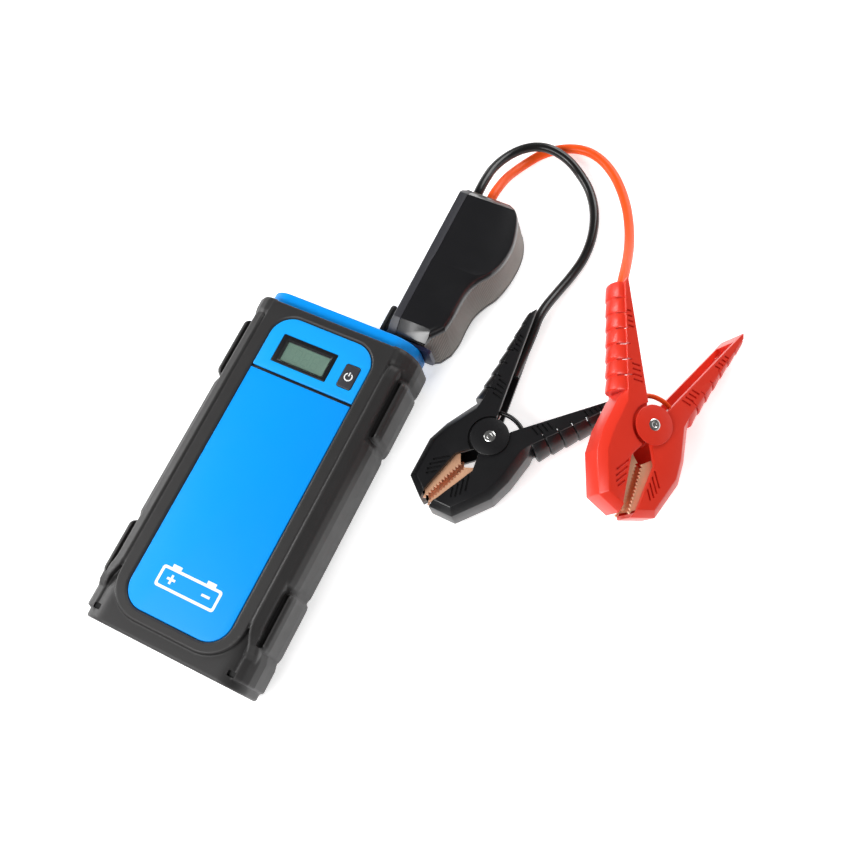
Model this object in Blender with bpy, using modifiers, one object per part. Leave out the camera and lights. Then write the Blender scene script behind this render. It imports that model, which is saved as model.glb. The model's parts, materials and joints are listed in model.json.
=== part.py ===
"""Jump starter pack with its plugged-in lead module and two battery clamps.

Every named object is one separate piece of the real article. The script works in metres with
+Z up. The origin is the centre of the pack's flat underside, +Y runs along the pack towards its
port end and +X towards its right side. Sizes below are in millimetres and MM turns them to metres.
"""

import math

import bmesh
import bpy
from mathutils import Matrix, Vector

MM = 0.001
GAP = 0.3

# Power pack
PACK_LENGTH = 190.0
CASE_WIDTH = 87.0
CASE_LOW = 4.0
CASE_HIGH = 38.0
CASE_SPLIT = 21.0
CASE_CORNER = 13.0
CASE_WALL = 2.2
CASE_END = PACK_LENGTH / 2
CASE_FOOT = -92.6
SLEEVE_WIDTH = 92.0
SLEEVE_HIGH = 40.4
SLEEVE_CORNER = 14.0
SLEEVE_FOOT = -PACK_LENGTH / 2
SLEEVE_END = 88.5
RING_HIGH = 42.6
RING_HALF_WIDTH = 36.4
RING_FOOT = -87.2
RING_CORNER = 19.0
WINDOW_HALF_WIDTH = 29.3
WINDOW_FOOT = -81.9
WINDOW_END = 82.6
WINDOW_CORNER = 12.5
PANEL_HIGH = 42.0
PANEL_SPLIT_LOW = 50.2
PANEL_SPLIT_HIGH = 51.9
BUMPER_REACH = 48.0
LUG_REACH = 48.0
LUG_WIDTH = 3.2
LUG_LOW = 11.0
LUG_HIGH = 30.5
LUG_SPANS = ((-73.5, -43.0), (41.0, 74.5))
LUG_GROOVE_WIDTH = 3.4
LUG_GROOVE_FLOOR = 25.5

# Display and button
DISPLAY_CENTRE = (-5.3, 64.7)
DISPLAY_SIZE = (31.4, 15.4)
SCREEN_SIZE = (25.0, 10.8)
BUTTON_CENTRE = (20.8, 64.1)
BUTTON_SIZE = (8.0, 12.8)
BUTTON_TRAVEL = 0.8

# Port end
PORT_HEIGHT = 21.0
PLUG_X = 31.6
PLUG_SIZE = (16.2, 9.8)
PLUG_TIP = 78.6
PLUG_TAIL = (26.5, 39.5, 17.3, 24.9)
SOCKET_SIZE = (18.8, 13.0)
SOCKET_BACK = 66.0
CONTACT_PITCH = 8.0
CONTACT_RADIUS = 1.9
COVER_HINGE = (17.6, 95.9)
COVER_LENGTH = 18.0
COVER_LOW = 13.0
COVER_HIGH = 29.0
USB_A_XS = (-20.0, -2.0)
USB_C_X = 11.6
TORCH_X = -34.0

# Lead module
MODULE_LEFT = 22.3
MODULE_FOOT = 97.8
MODULE_END = 188.8
MODULE_FRONT = 34.0
MODULE_SPLIT = 8.0
MODULE_BACK = 3.2
MODULE_WALL = 2.0
MODULE_STRIP_X = 27.2
MODULE_CREASE = 142.0
MODULE_CREASE_DROP = 1.0
GRIP_CURVE = (
    (44.0, 98.2), (49.4, 101.2), (52.0, 106.6), (52.3, 114.0), (51.9, 122.5), (52.8, 130.5),
    (56.2, 138.0), (60.2, 145.6), (62.4, 155.5), (62.6, 166.0), (60.6, 176.0), (56.0, 184.0),
    (49.0, 188.4),
)

# Lead cables, as points along each centre line
CABLE_DIAMETER = 5.2
BLACK_ROUTE = (
    (27.4, 190.4, 20.0), (27.0, 196.0, 20.0), (26.6, 204.0, 18.6), (26.4, 213.0, 15.4),
    (28.6, 223.0, 12.2), (33.6, 231.4, 10.4), (40.6, 236.6, 9.6), (49.0, 238.4, 8.6),
    (58.6, 237.2, 6.0), (68.0, 232.6, 3.6), (76.6, 225.6, 2.9), (83.4, 216.6, 2.9),
    (88.0, 206.6, 2.9), (90.6, 196.0, 3.0), (91.2, 185.0, 3.2), (89.8, 173.0, 4.4),
    (87.8, 161.0, 6.8), (86.4, 150.0, 9.8), (86.2, 141.0, 11.8), (87.0, 133.0, 12.0),
    (87.6, 124.0, 12.0), (87.9, 115.0, 12.0), (88.3, 106.5, 12.0),
)
RED_ROUTE = (
    (35.4, 190.4, 20.0), (35.2, 196.0, 19.6), (35.0, 203.0, 17.0), (34.6, 211.0, 12.4),
    (35.2, 219.0, 7.6), (37.6, 227.6, 4.0), (42.4, 236.0, 2.9), (49.6, 242.4, 2.9),
    (58.0, 246.4, 2.9), (67.0, 247.4, 2.9), (76.4, 244.6, 3.0), (85.6, 238.4, 3.6),
    (94.0, 229.6, 5.2), (101.6, 219.0, 8.2), (108.0, 207.4, 12.8), (113.4, 195.4, 19.0),
    (117.8, 183.6, 26.6), (121.2, 172.8, 34.0), (124.0, 163.0, 39.6), (127.0, 153.6, 42.0),
    (130.8, 144.0, 40.8), (134.6, 134.6, 39.0),
)
CABLE_POINTS = 36
GROMMET_RADIUS = 3.4

# Clamps, in each clamp's own frame: the pivot is the origin, +X points to the handles, +Y to the
# cable half and +Z out of the front face
CLAMP_HALF_THICK = 10.0
CLAMP_WALL = 2.4
CLAMP_CHAMFER = 3.8
CLAMP_NOSE = ((-45.5, 3.0), (-41.0, 15.4), (-21.0, 22.6), (-9.5, 22.4), (6.5, 19.6))
HANDLE_INNER = ((13.0, 7.2), (65.0, 33.8))
HANDLE_BORDER = ((12.6, 14.4), (62.0, 34.6))
HANDLE_OUTER = ((10.0, 23.0), (62.0, 38.2))
JAW_NOTCH = ((-10.5, 2.4), (-18.0, 6.4), (-44.5, 3.6))
EAR_RADIUS = 7.6
EAR_CLEARANCE = 8.1
EAR_TOP = 9.2
DISC_RADIUS = 9.8
DISC_TOP = 11.3
RIVET_RADIUS = 2.2
RIVET_HEAD_RADIUS = 2.9
RIVET_REACH = 11.7
GRIP_STEPS = 7
GRIP_END_HALF_THICK = 8.6
JAW_HALF_WIDTH = 6.8
JAW_SHEET = 1.0
JAW_SPAN = (-44.2, -18.6)
JAW_TEETH = 9
JAW_TOOTH_GAP = 0.9
JAW_TOOTH_DEPTH = 1.2
JAW_ARCH = 0.3
SPRING_RADIUS = 5.2
SPRING_WIRE = 1.3
SPRING_TURN = 2 * 360.0 + 236.0
JUMPER_DIAMETER = 2.4
BLACK_PIVOT = (94.0, 69.0, RIVET_REACH)
BLACK_HEADING = 68.9
RED_PIVOT = (161.4, 100.3, 26.7)
RED_HEADING = 98.5
RED_ROLL = 31.0

ARC_STEPS = 4
ROUND_SIDES = 16


# ------------------------------------------------------------------ scene and materials

def clear_scene():
    """Remove every object that the file opened with."""
    for obj in list(bpy.data.objects):
        bpy.data.objects.remove(obj, do_unlink=True)


def make_collection(name):
    """Return a new collection under the scene."""
    collection = bpy.data.collections.new(name)
    bpy.context.scene.collection.children.link(collection)
    return collection


def make_material(name, color, roughness, metallic=0.0):
    """Return a Principled material of one colour."""
    material = bpy.data.materials.new(name)
    material.use_nodes = True
    shader = material.node_tree.nodes["Principled BSDF"]
    shader.inputs["Base Color"].default_value = (*color, 1.0)
    shader.inputs["Roughness"].default_value = roughness
    shader.inputs["Metallic"].default_value = metallic
    return material


clear_scene()
PARTS = make_collection("jump_starter_pack")
CUTTERS = make_collection("cutters")
CUTTERS.hide_render = True

BLUE = make_material("blue_abs", (0.0, 0.33, 0.95), 0.45)
BLUE_LIGHT = make_material("light_blue_abs", (0.02, 0.42, 1.0), 0.4)
RUBBER = make_material("grey_tpe", (0.055, 0.053, 0.05), 0.75)
BLACK = make_material("black_abs", (0.018, 0.018, 0.02), 0.4)
RIBBED = make_material("ribbed_grip", (0.1, 0.095, 0.088), 0.6)
NAVY = make_material("navy_nylon", (0.01, 0.012, 0.06), 0.5)
LCD = make_material("lcd_glass", (0.25, 0.31, 0.25), 0.2)
BOARD = make_material("circuit_board", (0.02, 0.16, 0.07), 0.5)
CELL = make_material("cell_foil", (0.62, 0.63, 0.66), 0.35, 0.6)
STEEL = make_material("steel", (0.6, 0.6, 0.6), 0.3, 1.0)
BRASS = make_material("gold_plated_brass", (0.8, 0.58, 0.25), 0.3, 1.0)
COPPER = make_material("copper", (0.85, 0.42, 0.25), 0.3, 1.0)
RED = make_material("red_abs", (0.85, 0.06, 0.04), 0.45)
BLACK_CABLE = make_material("black_silicone", (0.02, 0.02, 0.02), 0.5)
RED_CABLE = make_material("red_silicone", (0.95, 0.12, 0.03), 0.5)
LENS = make_material("clear_lens", (0.85, 0.87, 0.9), 0.1)


# ------------------------------------------------------------------ outlines

def arc(centre, radius, start, stop, steps=ARC_STEPS):
    """Return the points of an arc, in degrees, both ends included."""
    points = []
    for step in range(steps + 1):
        angle = math.radians(start + (stop - start) * step / steps)
        points.append((centre[0] + radius * math.cos(angle), centre[1] + radius * math.sin(angle)))
    return points


def rounded_rectangle(left, right, low, high, radius):
    """Return the outline of a rectangle with round corners, anticlockwise."""
    return (
        arc((right - radius, low + radius), radius, -90, 0)
        + arc((right - radius, high - radius), radius, 0, 90)
        + arc((left + radius, high - radius), radius, 90, 180)
        + arc((left + radius, low + radius), radius, 180, 270)
    )


def centred_rectangle(centre, size, radius):
    """Return a round-cornered rectangle about a centre."""
    half_x = size[0] / 2
    half_y = size[1] / 2
    return rounded_rectangle(
        centre[0] - half_x, centre[0] + half_x, centre[1] - half_y, centre[1] + half_y, radius)


def circle(centre, radius, sides=ROUND_SIDES):
    """Return a circle's points."""
    return arc(centre, radius, 0, 360 - 360 / sides, sides - 1)


def smooth_path(points, count):
    """Return count points, evenly numbered, on a smooth curve through the given points."""
    knots = [Vector(point) for point in points]
    knots = [2 * knots[0] - knots[1]] + knots + [2 * knots[-1] - knots[-2]]
    spans = len(points) - 1
    path = []
    for index in range(count):
        place = spans * index / (count - 1)
        span = min(int(place), spans - 1)
        t = place - span
        p0, p1, p2, p3 = knots[span:span + 4]
        path.append(0.5 * (2 * p1 + (p2 - p0) * t + (2 * p0 - 5 * p1 + 4 * p2 - p3) * t ** 2
                           + (3 * p1 - p0 - 3 * p2 + p3) * t ** 3))
    return path


def between(line, share):
    """Return the point at a share of the way along a straight line."""
    start = Vector(line[0])
    stop = Vector(line[1])
    return start + (stop - start) * share


# ------------------------------------------------------------------ solids

def add_piece(name, mesh, material, parent=None):
    """Put a mesh in the scene as one piece."""
    mesh.name = name
    mesh.materials.clear()
    mesh.materials.append(material)
    piece = bpy.data.objects.new(name, mesh)
    PARTS.objects.link(piece)
    piece.parent = parent
    return piece


def curve_to_mesh(curve, matrix=None):
    """Return the closed mesh of a curve, with its caps welded, and remove the curve."""
    holder = bpy.data.objects.new("holder", curve)
    PARTS.objects.link(holder)
    bpy.context.view_layer.update()
    graph = bpy.context.evaluated_depsgraph_get()
    mesh = bpy.data.meshes.new_from_object(holder.evaluated_get(graph))
    bpy.data.objects.remove(holder, do_unlink=True)
    work = bmesh.new()
    work.from_mesh(mesh)
    bmesh.ops.remove_doubles(work, verts=work.verts, dist=0.000001)
    bmesh.ops.recalc_face_normals(work, faces=work.faces)
    if matrix is not None:
        work.transform(matrix)
    work.to_mesh(mesh)
    work.free()
    return mesh


def loft_mesh(rings, matrix=None):
    """Return the closed mesh that runs through rings of equal point count."""
    work = bmesh.new()
    rows = []
    for ring in rings:
        rows.append([work.verts.new(Vector(point) * MM) for point in ring])
    count = len(rows[0])
    for lower, upper in zip(rows, rows[1:]):
        for index in range(count):
            following = (index + 1) % count
            work.faces.new((lower[index], lower[following], upper[following], upper[index]))
    work.faces.new(rows[0])
    work.faces.new(rows[-1])
    bmesh.ops.recalc_face_normals(work, faces=work.faces)
    if matrix is not None:
        work.transform(matrix)
    mesh = bpy.data.meshes.new("loft")
    work.to_mesh(mesh)
    work.free()
    return mesh


def plate_mesh(outlines, low, high, matrix=None):
    """Return the solid of a flat outline, its later outlines being holes, from low to high."""
    curve = bpy.data.curves.new("outline", "CURVE")
    curve.dimensions = "2D"
    curve.fill_mode = "BOTH"
    curve.extrude = (high - low) / 2 * MM
    for outline in outlines:
        spline = curve.splines.new("POLY")
        spline.points.add(len(outline) - 1)
        spline.use_cyclic_u = True
        for point, (x, y) in zip(spline.points, outline):
            point.co = (x * MM, y * MM, 0, 1)
    lift = Matrix.Translation((0, 0, (low + high) / 2 * MM))
    return curve_to_mesh(curve, lift if matrix is None else matrix @ lift)


# Turns an outline drawn in X and Z, extruded along its own +Z, into one extruded along -Y
STAND_UP = Matrix.Rotation(math.radians(90), 4, "X")
# Turns an outline drawn in Y and Z into one extruded along +X
STAND_SIDE = Matrix(((0, 0, 1, 0), (1, 0, 0, 0), (0, 1, 0, 0), (0, 0, 0, 1)))


def plate(name, outlines, low, high, material, parent=None):
    """Add a flat plate lying between two heights."""
    return add_piece(name, plate_mesh(outlines, low, high), material, parent)


def bar(name, outlines, start, stop, material, parent=None):
    """Add a bar whose section is drawn in X and Z and which runs along Y."""
    return add_piece(name, plate_mesh(outlines, -stop, -start, STAND_UP), material, parent)


def cylinder(name, centre, radius, start, stop, axis, material, parent=None, sides=ROUND_SIDES):
    """Add a round bar along the Y or Z axis, between two places on that axis."""
    work = bmesh.new()
    place = Matrix.Translation((centre[0] * MM, centre[1] * MM, (start + stop) / 2 * MM))
    if axis == "Y":
        place = STAND_UP @ Matrix.Translation((centre[0] * MM, centre[1] * MM, -(start + stop) / 2 * MM))
    bmesh.ops.create_cone(work, cap_ends=True, segments=sides, radius1=radius * MM, radius2=radius * MM,
                          depth=(stop - start) * MM, matrix=place)
    mesh = bpy.data.meshes.new(name)
    work.to_mesh(mesh)
    work.free()
    return add_piece(name, mesh, material, parent)


def block(name, low, high, material, parent=None, radius=0.0):
    """Add a box between two corners, its upright edges rounded where a radius is given."""
    if radius:
        outline = rounded_rectangle(low[0], high[0], low[1], high[1], radius)
        return plate(name, [outline], low[2], high[2], material, parent)
    work = bmesh.new()
    size = [(upper - lower) * MM for lower, upper in zip(low, high)]
    middle = [(upper + lower) / 2 * MM for lower, upper in zip(low, high)]
    bmesh.ops.create_cube(work, size=1.0, matrix=Matrix.Translation(middle) @ Matrix.Diagonal((*size, 1.0)))
    mesh = bpy.data.meshes.new(name)
    work.to_mesh(mesh)
    work.free()
    return add_piece(name, mesh, material, parent)


def loft(name, rings, material, parent=None):
    """Add the closed solid that runs through rings of equal point count."""
    return add_piece(name, loft_mesh(rings), material, parent)


def tube(name, path, diameter, material, parent=None, resolution=2):
    """Add a round tube along a path of points in millimetres."""
    curve = bpy.data.curves.new(name, "CURVE")
    curve.dimensions = "3D"
    curve.bevel_depth = diameter / 2 * MM
    curve.bevel_resolution = resolution
    curve.use_fill_caps = True
    spline = curve.splines.new("POLY")
    spline.points.add(len(path) - 1)
    for point, place in zip(spline.points, path):
        point.co = (*(Vector(place) * MM), 1)
    curve.materials.append(material)
    piece = bpy.data.objects.new(name, curve)
    PARTS.objects.link(piece)
    piece.parent = parent
    return piece


def set_aside(tool):
    """Make an object a hidden cutter or joining body."""
    PARTS.objects.unlink(tool)
    CUTTERS.objects.link(tool)
    tool.hide_render = True
    tool.display_type = "WIRE"


def combine(piece, tools, operation):
    """Cut the tools from a piece, join them to it or keep what they share."""
    for tool in tools:
        set_aside(tool)
        step = piece.modifiers.new(operation.lower(), "BOOLEAN")
        step.operation = operation
        step.solver = "EXACT"
        step.object = tool


def cut(piece, *tools):
    """Cut tools out of a piece."""
    combine(piece, tools, "DIFFERENCE")


def join(piece, *tools):
    """Join tools to a piece as one body."""
    combine(piece, tools, "UNION")


def bevel(piece, width, segments=2, angle=40.0):
    """Round a piece's sharp edges."""
    step = piece.modifiers.new("edges", "BEVEL")
    step.width = width * MM
    step.segments = segments
    step.limit_method = "ANGLE"
    step.angle_limit = math.radians(angle)


def add_empty(name, location, rotation=None):
    """Add an empty that carries the pieces of one moving group."""
    empty = bpy.data.objects.new(name, None)
    PARTS.objects.link(empty)
    empty.location = Vector(location) * MM
    if rotation is not None:
        empty.rotation_euler = rotation.to_euler()
    return empty


# ------------------------------------------------------------------ power pack casing

def case_section(inset=0.0):
    """Return the case's section in X and Z, drawn in by an inset."""
    half = CASE_WIDTH / 2 - inset
    return rounded_rectangle(-half, half, CASE_LOW + inset, CASE_HIGH - inset, CASE_CORNER - inset)


def case_half(name, is_front):
    """Add one half of the blue case, a tray with end walls."""
    shell = bar(name, [case_section()], CASE_FOOT, CASE_END, BLUE)
    hollow = bar("cut_" + name, [case_section(CASE_WALL)], CASE_FOOT + CASE_WALL,
                 CASE_END - CASE_WALL, BLUE)
    wide = CASE_WIDTH
    if is_front:
        other = block("split_" + name, (-wide, -120, -10), (wide, 120, CASE_SPLIT + GAP / 2), BLUE)
    else:
        other = block("split_" + name, (-wide, -120, CASE_SPLIT - GAP / 2), (wide, 120, 60), BLUE)
    cut(shell, hollow, other)
    return shell


def port_cutters(tag):
    """Return the openings that the ports need in the case's end wall."""
    depth = (CASE_END - CASE_WALL - 1.0, CASE_END + 1.0)
    cutters = []
    hole = centred_rectangle((PLUG_X, PORT_HEIGHT), (SOCKET_SIZE[0] + 0.6, SOCKET_SIZE[1] + 0.6), 2.0)
    cutters.append(bar("hole_socket_" + tag, [hole], *depth, BLUE))
    for number, x in enumerate(USB_A_XS):
        hole = centred_rectangle((x, PORT_HEIGHT), (15.2, 7.7), 0.8)
        cutters.append(bar(f"hole_usb_a{number}_{tag}", [hole], *depth, BLUE))
    hole = centred_rectangle((USB_C_X, PORT_HEIGHT), (9.6, 3.8), 1.6)
    cutters.append(bar("hole_usb_c_" + tag, [hole], *depth, BLUE))
    cutters.append(cylinder("hole_torch_" + tag, (TORCH_X, PORT_HEIGHT), 5.4, *depth, "Y", BLUE))
    hole = centred_rectangle((COVER_HINGE[0] + 0.9, PORT_HEIGHT), (2.2, 12.4), 0.3)
    cutters.append(bar("hole_cover_" + tag, [hole], *depth, BLUE))
    return cutters


SCREW_PLACES = ((-36.0, -80.0), (36.0, -80.0), (-36.0, 60.0), (36.0, 52.0))


def build_case():
    """Add the two case halves, their screws and the base panel."""
    front = case_half("front_case", True)
    cut(front, *port_cutters("front"))
    window = block("hole_display", (-19.6, 57.8, 30), (9.0, 71.6, 50), BLUE)
    stem = cylinder("hole_button", BUTTON_CENTRE, 3.0, 30, 50, "Z", BLUE)
    cut(front, window, stem)
    back = case_half("back_case", False)
    cut(back, *port_cutters("back"))
    for number, (x, y) in enumerate(SCREW_PLACES, 1):
        front_post = cylinder(f"post_front_{number}", (x, y), 3.0, 21.3, 33.0, "Z", BLUE, sides=8)
        join(front, front_post)
        cut(front, cylinder(f"pilot_{number}", (x, y), 1.6, 20.0, 30.0, "Z", BLUE, sides=8))
        post = cylinder(f"post_back_{number}", (x, y), 3.9, 9.0, 20.7, "Z", BLUE, sides=8)
        join(back, post)
        cut(back, cylinder(f"shank_hole_{number}", (x, y), 1.6, 0.0, 22.0, "Z", BLUE, sides=8))
        cut(back, cylinder(f"head_hole_{number}", (x, y), 2.9, 0.0, 11.4, "Z", BLUE, sides=8))
        screw = cylinder(f"case_screw_{number}", (x, y), 1.2, 9.0, 28.0, "Z", STEEL, sides=8)
        join(screw, cylinder(f"screw_head_{number}", (x, y), 2.4, 9.2, 11.1, "Z", STEEL, sides=8))
    base = plate("base_panel", [window_outline(GAP)], 0.0, CASE_LOW - GAP, BLUE)
    base.data.materials.clear()
    base.data.materials.append(BLACK)
    bevel(base, 0.5, 1)


def window_outline(inset):
    """Return the sleeve's window outline, drawn in by an inset."""
    return rounded_rectangle(
        -WINDOW_HALF_WIDTH + inset, WINDOW_HALF_WIDTH - inset, WINDOW_FOOT + inset,
        WINDOW_END - inset, WINDOW_CORNER - inset)


def sleeve_side(tag, side):
    """Return the solids that one long side of the sleeve adds and those it cuts away."""
    added = []
    removed = []
    for number, (start, stop) in enumerate(LUG_SPANS):
        inner = side * (LUG_REACH - LUG_WIDTH - 3.0)
        outer = side * LUG_REACH
        low, high = sorted((inner, outer))
        lug = block(f"lug_{tag}{number}", (low, start, LUG_LOW), (high, stop, LUG_HIGH), RUBBER)
        bevel(lug, 1.4, 1)
        added.append(lug)
        inner = side * (LUG_REACH - LUG_WIDTH - LUG_GROOVE_WIDTH)
        outer = side * (LUG_REACH - LUG_WIDTH)
        low, high = sorted((inner, outer))
        groove = block(f"groove_{tag}{number}", (low, start + 2.5, LUG_GROOVE_FLOOR),
                       (high, stop - 2.5, 50), RUBBER, radius=1.2)
        removed.append(groove)
    for number, (start, stop) in enumerate(((SLEEVE_FOOT + 2.5, -77.0), (76.5, SLEEVE_END - 1.5))):
        low, high = sorted((side * 38.0, side * BUMPER_REACH))
        bumper = block(f"bumper_{tag}{number}", (low, start, 7.0), (high, stop, 35.0), RUBBER)
        bevel(bumper, 3.0, 1)
        added.append(bumper)
    slot = block(f"strap_slot_{tag}", (side * 38.5 - 2.2, -89.2, 28.0),
                 (side * 38.5 + 2.2, -86.6, 50), RUBBER, radius=0.6)
    removed.append(slot)
    return added, removed


def build_sleeve():
    """Add the rubber sleeve: a bumper jacket with a raised ring round each window."""
    half = SLEEVE_WIDTH / 2
    section = rounded_rectangle(-half, half, 0.0, SLEEVE_HIGH, SLEEVE_CORNER)
    sleeve = bar("rubber_sleeve", [section], SLEEVE_FOOT, SLEEVE_END, RUBBER)
    bevel(sleeve, 1.6, 2, 60.0)
    ring_outline = (
        arc((RING_HALF_WIDTH - RING_CORNER, RING_FOOT + RING_CORNER), RING_CORNER, -90, 0, 8)
        + [(RING_HALF_WIDTH, SLEEVE_END - 0.6), (-RING_HALF_WIDTH, SLEEVE_END - 0.6)]
        + arc((-RING_HALF_WIDTH + RING_CORNER, RING_FOOT + RING_CORNER), RING_CORNER, 180, 270, 8))
    ring = plate("ring", [ring_outline], 30.0, RING_HIGH, RUBBER)
    bevel(ring, 0.7, 1, 60.0)
    join(sleeve, ring)
    removed = []
    for tag, side in (("left", -1), ("right", 1)):
        added, cuts = sleeve_side(tag, side)
        join(sleeve, *added)
        removed.extend(cuts)
    hollow = bar("sleeve_hollow", [case_section(-GAP)], CASE_FOOT - GAP, 120.0, RUBBER)
    window = plate("sleeve_window", [window_outline(0.0)], -5.0, 60.0, RUBBER)
    cut(sleeve, hollow, window, *removed)


# ------------------------------------------------------------------ front panels, display, button

def panel_outline(low, high):
    """Return the part of the window outline between two places along Y, drawn in by the gap."""
    half = WINDOW_HALF_WIDTH - GAP
    outline = [point for point in window_outline(GAP) if low < point[1] < high]
    if low > WINDOW_FOOT:
        outline = [(-half, low), (half, low)] + outline
    if high < WINDOW_END:
        outline = outline + [(half, high), (-half, high)]
        outline.sort(key=lambda point: math.atan2(point[1] - (high - 20.0), point[0]))
    return outline


def build_panels():
    """Add the lower front panel and the display panel above the divider."""
    lower = plate("front_panel", [panel_outline(-200, PANEL_SPLIT_LOW)], CASE_HIGH + GAP,
                  PANEL_HIGH, BLUE)
    bevel(lower, 0.4, 2, 60.0)
    upper = plate("display_panel", [panel_outline(PANEL_SPLIT_HIGH, 200)], CASE_HIGH + GAP,
                  PANEL_HIGH, BLUE_LIGHT)
    bezel_hole = centred_rectangle(DISPLAY_CENTRE, (DISPLAY_SIZE[0] + 0.6, DISPLAY_SIZE[1] + 0.6), 0.6)
    button_hole = centred_rectangle(BUTTON_CENTRE, (BUTTON_SIZE[0] + 0.6, BUTTON_SIZE[1] + 0.6), 1.5)
    cut(upper, plate("hole_bezel", [bezel_hole], 30, 50, BLUE))
    cut(upper, plate("hole_cap", [button_hole], 30, 50, BLUE))
    divider = block("divider_strip", (-WINDOW_HALF_WIDTH + GAP, PANEL_SPLIT_LOW + GAP, CASE_HIGH + GAP),
                    (WINDOW_HALF_WIDTH - GAP, PANEL_SPLIT_HIGH - GAP, PANEL_HIGH - 1.0), RUBBER)
    divider.data.materials.clear()
    divider.data.materials.append(BLACK)


def build_display():
    """Add the display's bezel, glass and its module behind the panel."""
    outer = centred_rectangle(DISPLAY_CENTRE, DISPLAY_SIZE, 0.5)
    opening = centred_rectangle(DISPLAY_CENTRE, SCREEN_SIZE, 0.6)
    bezel = plate("display_bezel", [outer, opening], CASE_HIGH + GAP, PANEL_HIGH + 0.3, BLACK)
    bevel(bezel, 0.3, 1, 60.0)
    glass = (SCREEN_SIZE[0] - 0.6, SCREEN_SIZE[1] - 0.6)
    plate("display_glass", [centred_rectangle(DISPLAY_CENTRE, glass, 0.4)], 40.0, 41.2, LCD)
    module = (SCREEN_SIZE[0] - 1.2, SCREEN_SIZE[1] - 1.2)
    plate("display_module", [centred_rectangle(DISPLAY_CENTRE, module, 0.4)], 33.6, 39.7, BLACK)


def build_button():
    """Add the power button with its stem, and the switch that it presses."""
    cap = centred_rectangle(BUTTON_CENTRE, BUTTON_SIZE, 1.2)
    origin = (BUTTON_CENTRE[0] * MM, BUTTON_CENTRE[1] * MM, 0)
    button = plate("power_button", [cap], 39.2, PANEL_HIGH + 0.4, BLACK)
    button.data.transform(Matrix.Translation(-Vector(origin)))
    button.location = origin
    bevel(button, 0.5, 2, 60.0)
    join(button, cylinder("stem", BUTTON_CENTRE, 2.0, 37.3, 40.0, "Z", BLACK, sides=16))
    x, y = BUTTON_CENTRE
    switch = block("button_switch", (x - 3, y - 3, 33.0), (x + 3, y + 3, 35.0), STEEL)
    join(switch, cylinder("switch_plunger", (x, y), 1.5, 34.5, 36.2, "Z", BLACK, sides=12))
    block("button_board", (x - 7, y - 8, 31.2), (x + 7, y + 8, 32.7), BOARD)


# ------------------------------------------------------------------ inside the pack

def build_battery():
    """Add the stack of three flat lithium cells and the insulating cradle under it."""
    thick = 7.9
    for number in range(3):
        low = 7.6 + number * (thick + GAP)
        cell = block(f"battery_cell_{number + 1}", (-32.0, -84.0, low), (32.0, 24.0, low + thick),
                     CELL, radius=3.0)
        tab = block(f"tab_{number}", (-20.0, 20.0, low + 3.5), (-10.0, 28.0, low + 4.3), CELL)
        join(cell, tab)


def build_board():
    """Add the main board with the parts that stand on it."""
    board = block("main_board", (-31.5, 30.0, 12.0), (31.5, 64.0, 13.6), BOARD)
    for number, (x, y, size, height) in enumerate((
            (-22.0, 42.0, 10.0, 8.0), (-6.0, 44.0, 7.0, 5.0), (8.0, 46.0, 9.0, 6.0), (22.0, 40.0, 6.0, 4.0))):
        half = size / 2
        part = block(f"component_{number}", (x - half, y - half, 13.0), (x + half, y + half, 13.6 + height),
                     BLACK)
        join(board, part)


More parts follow.
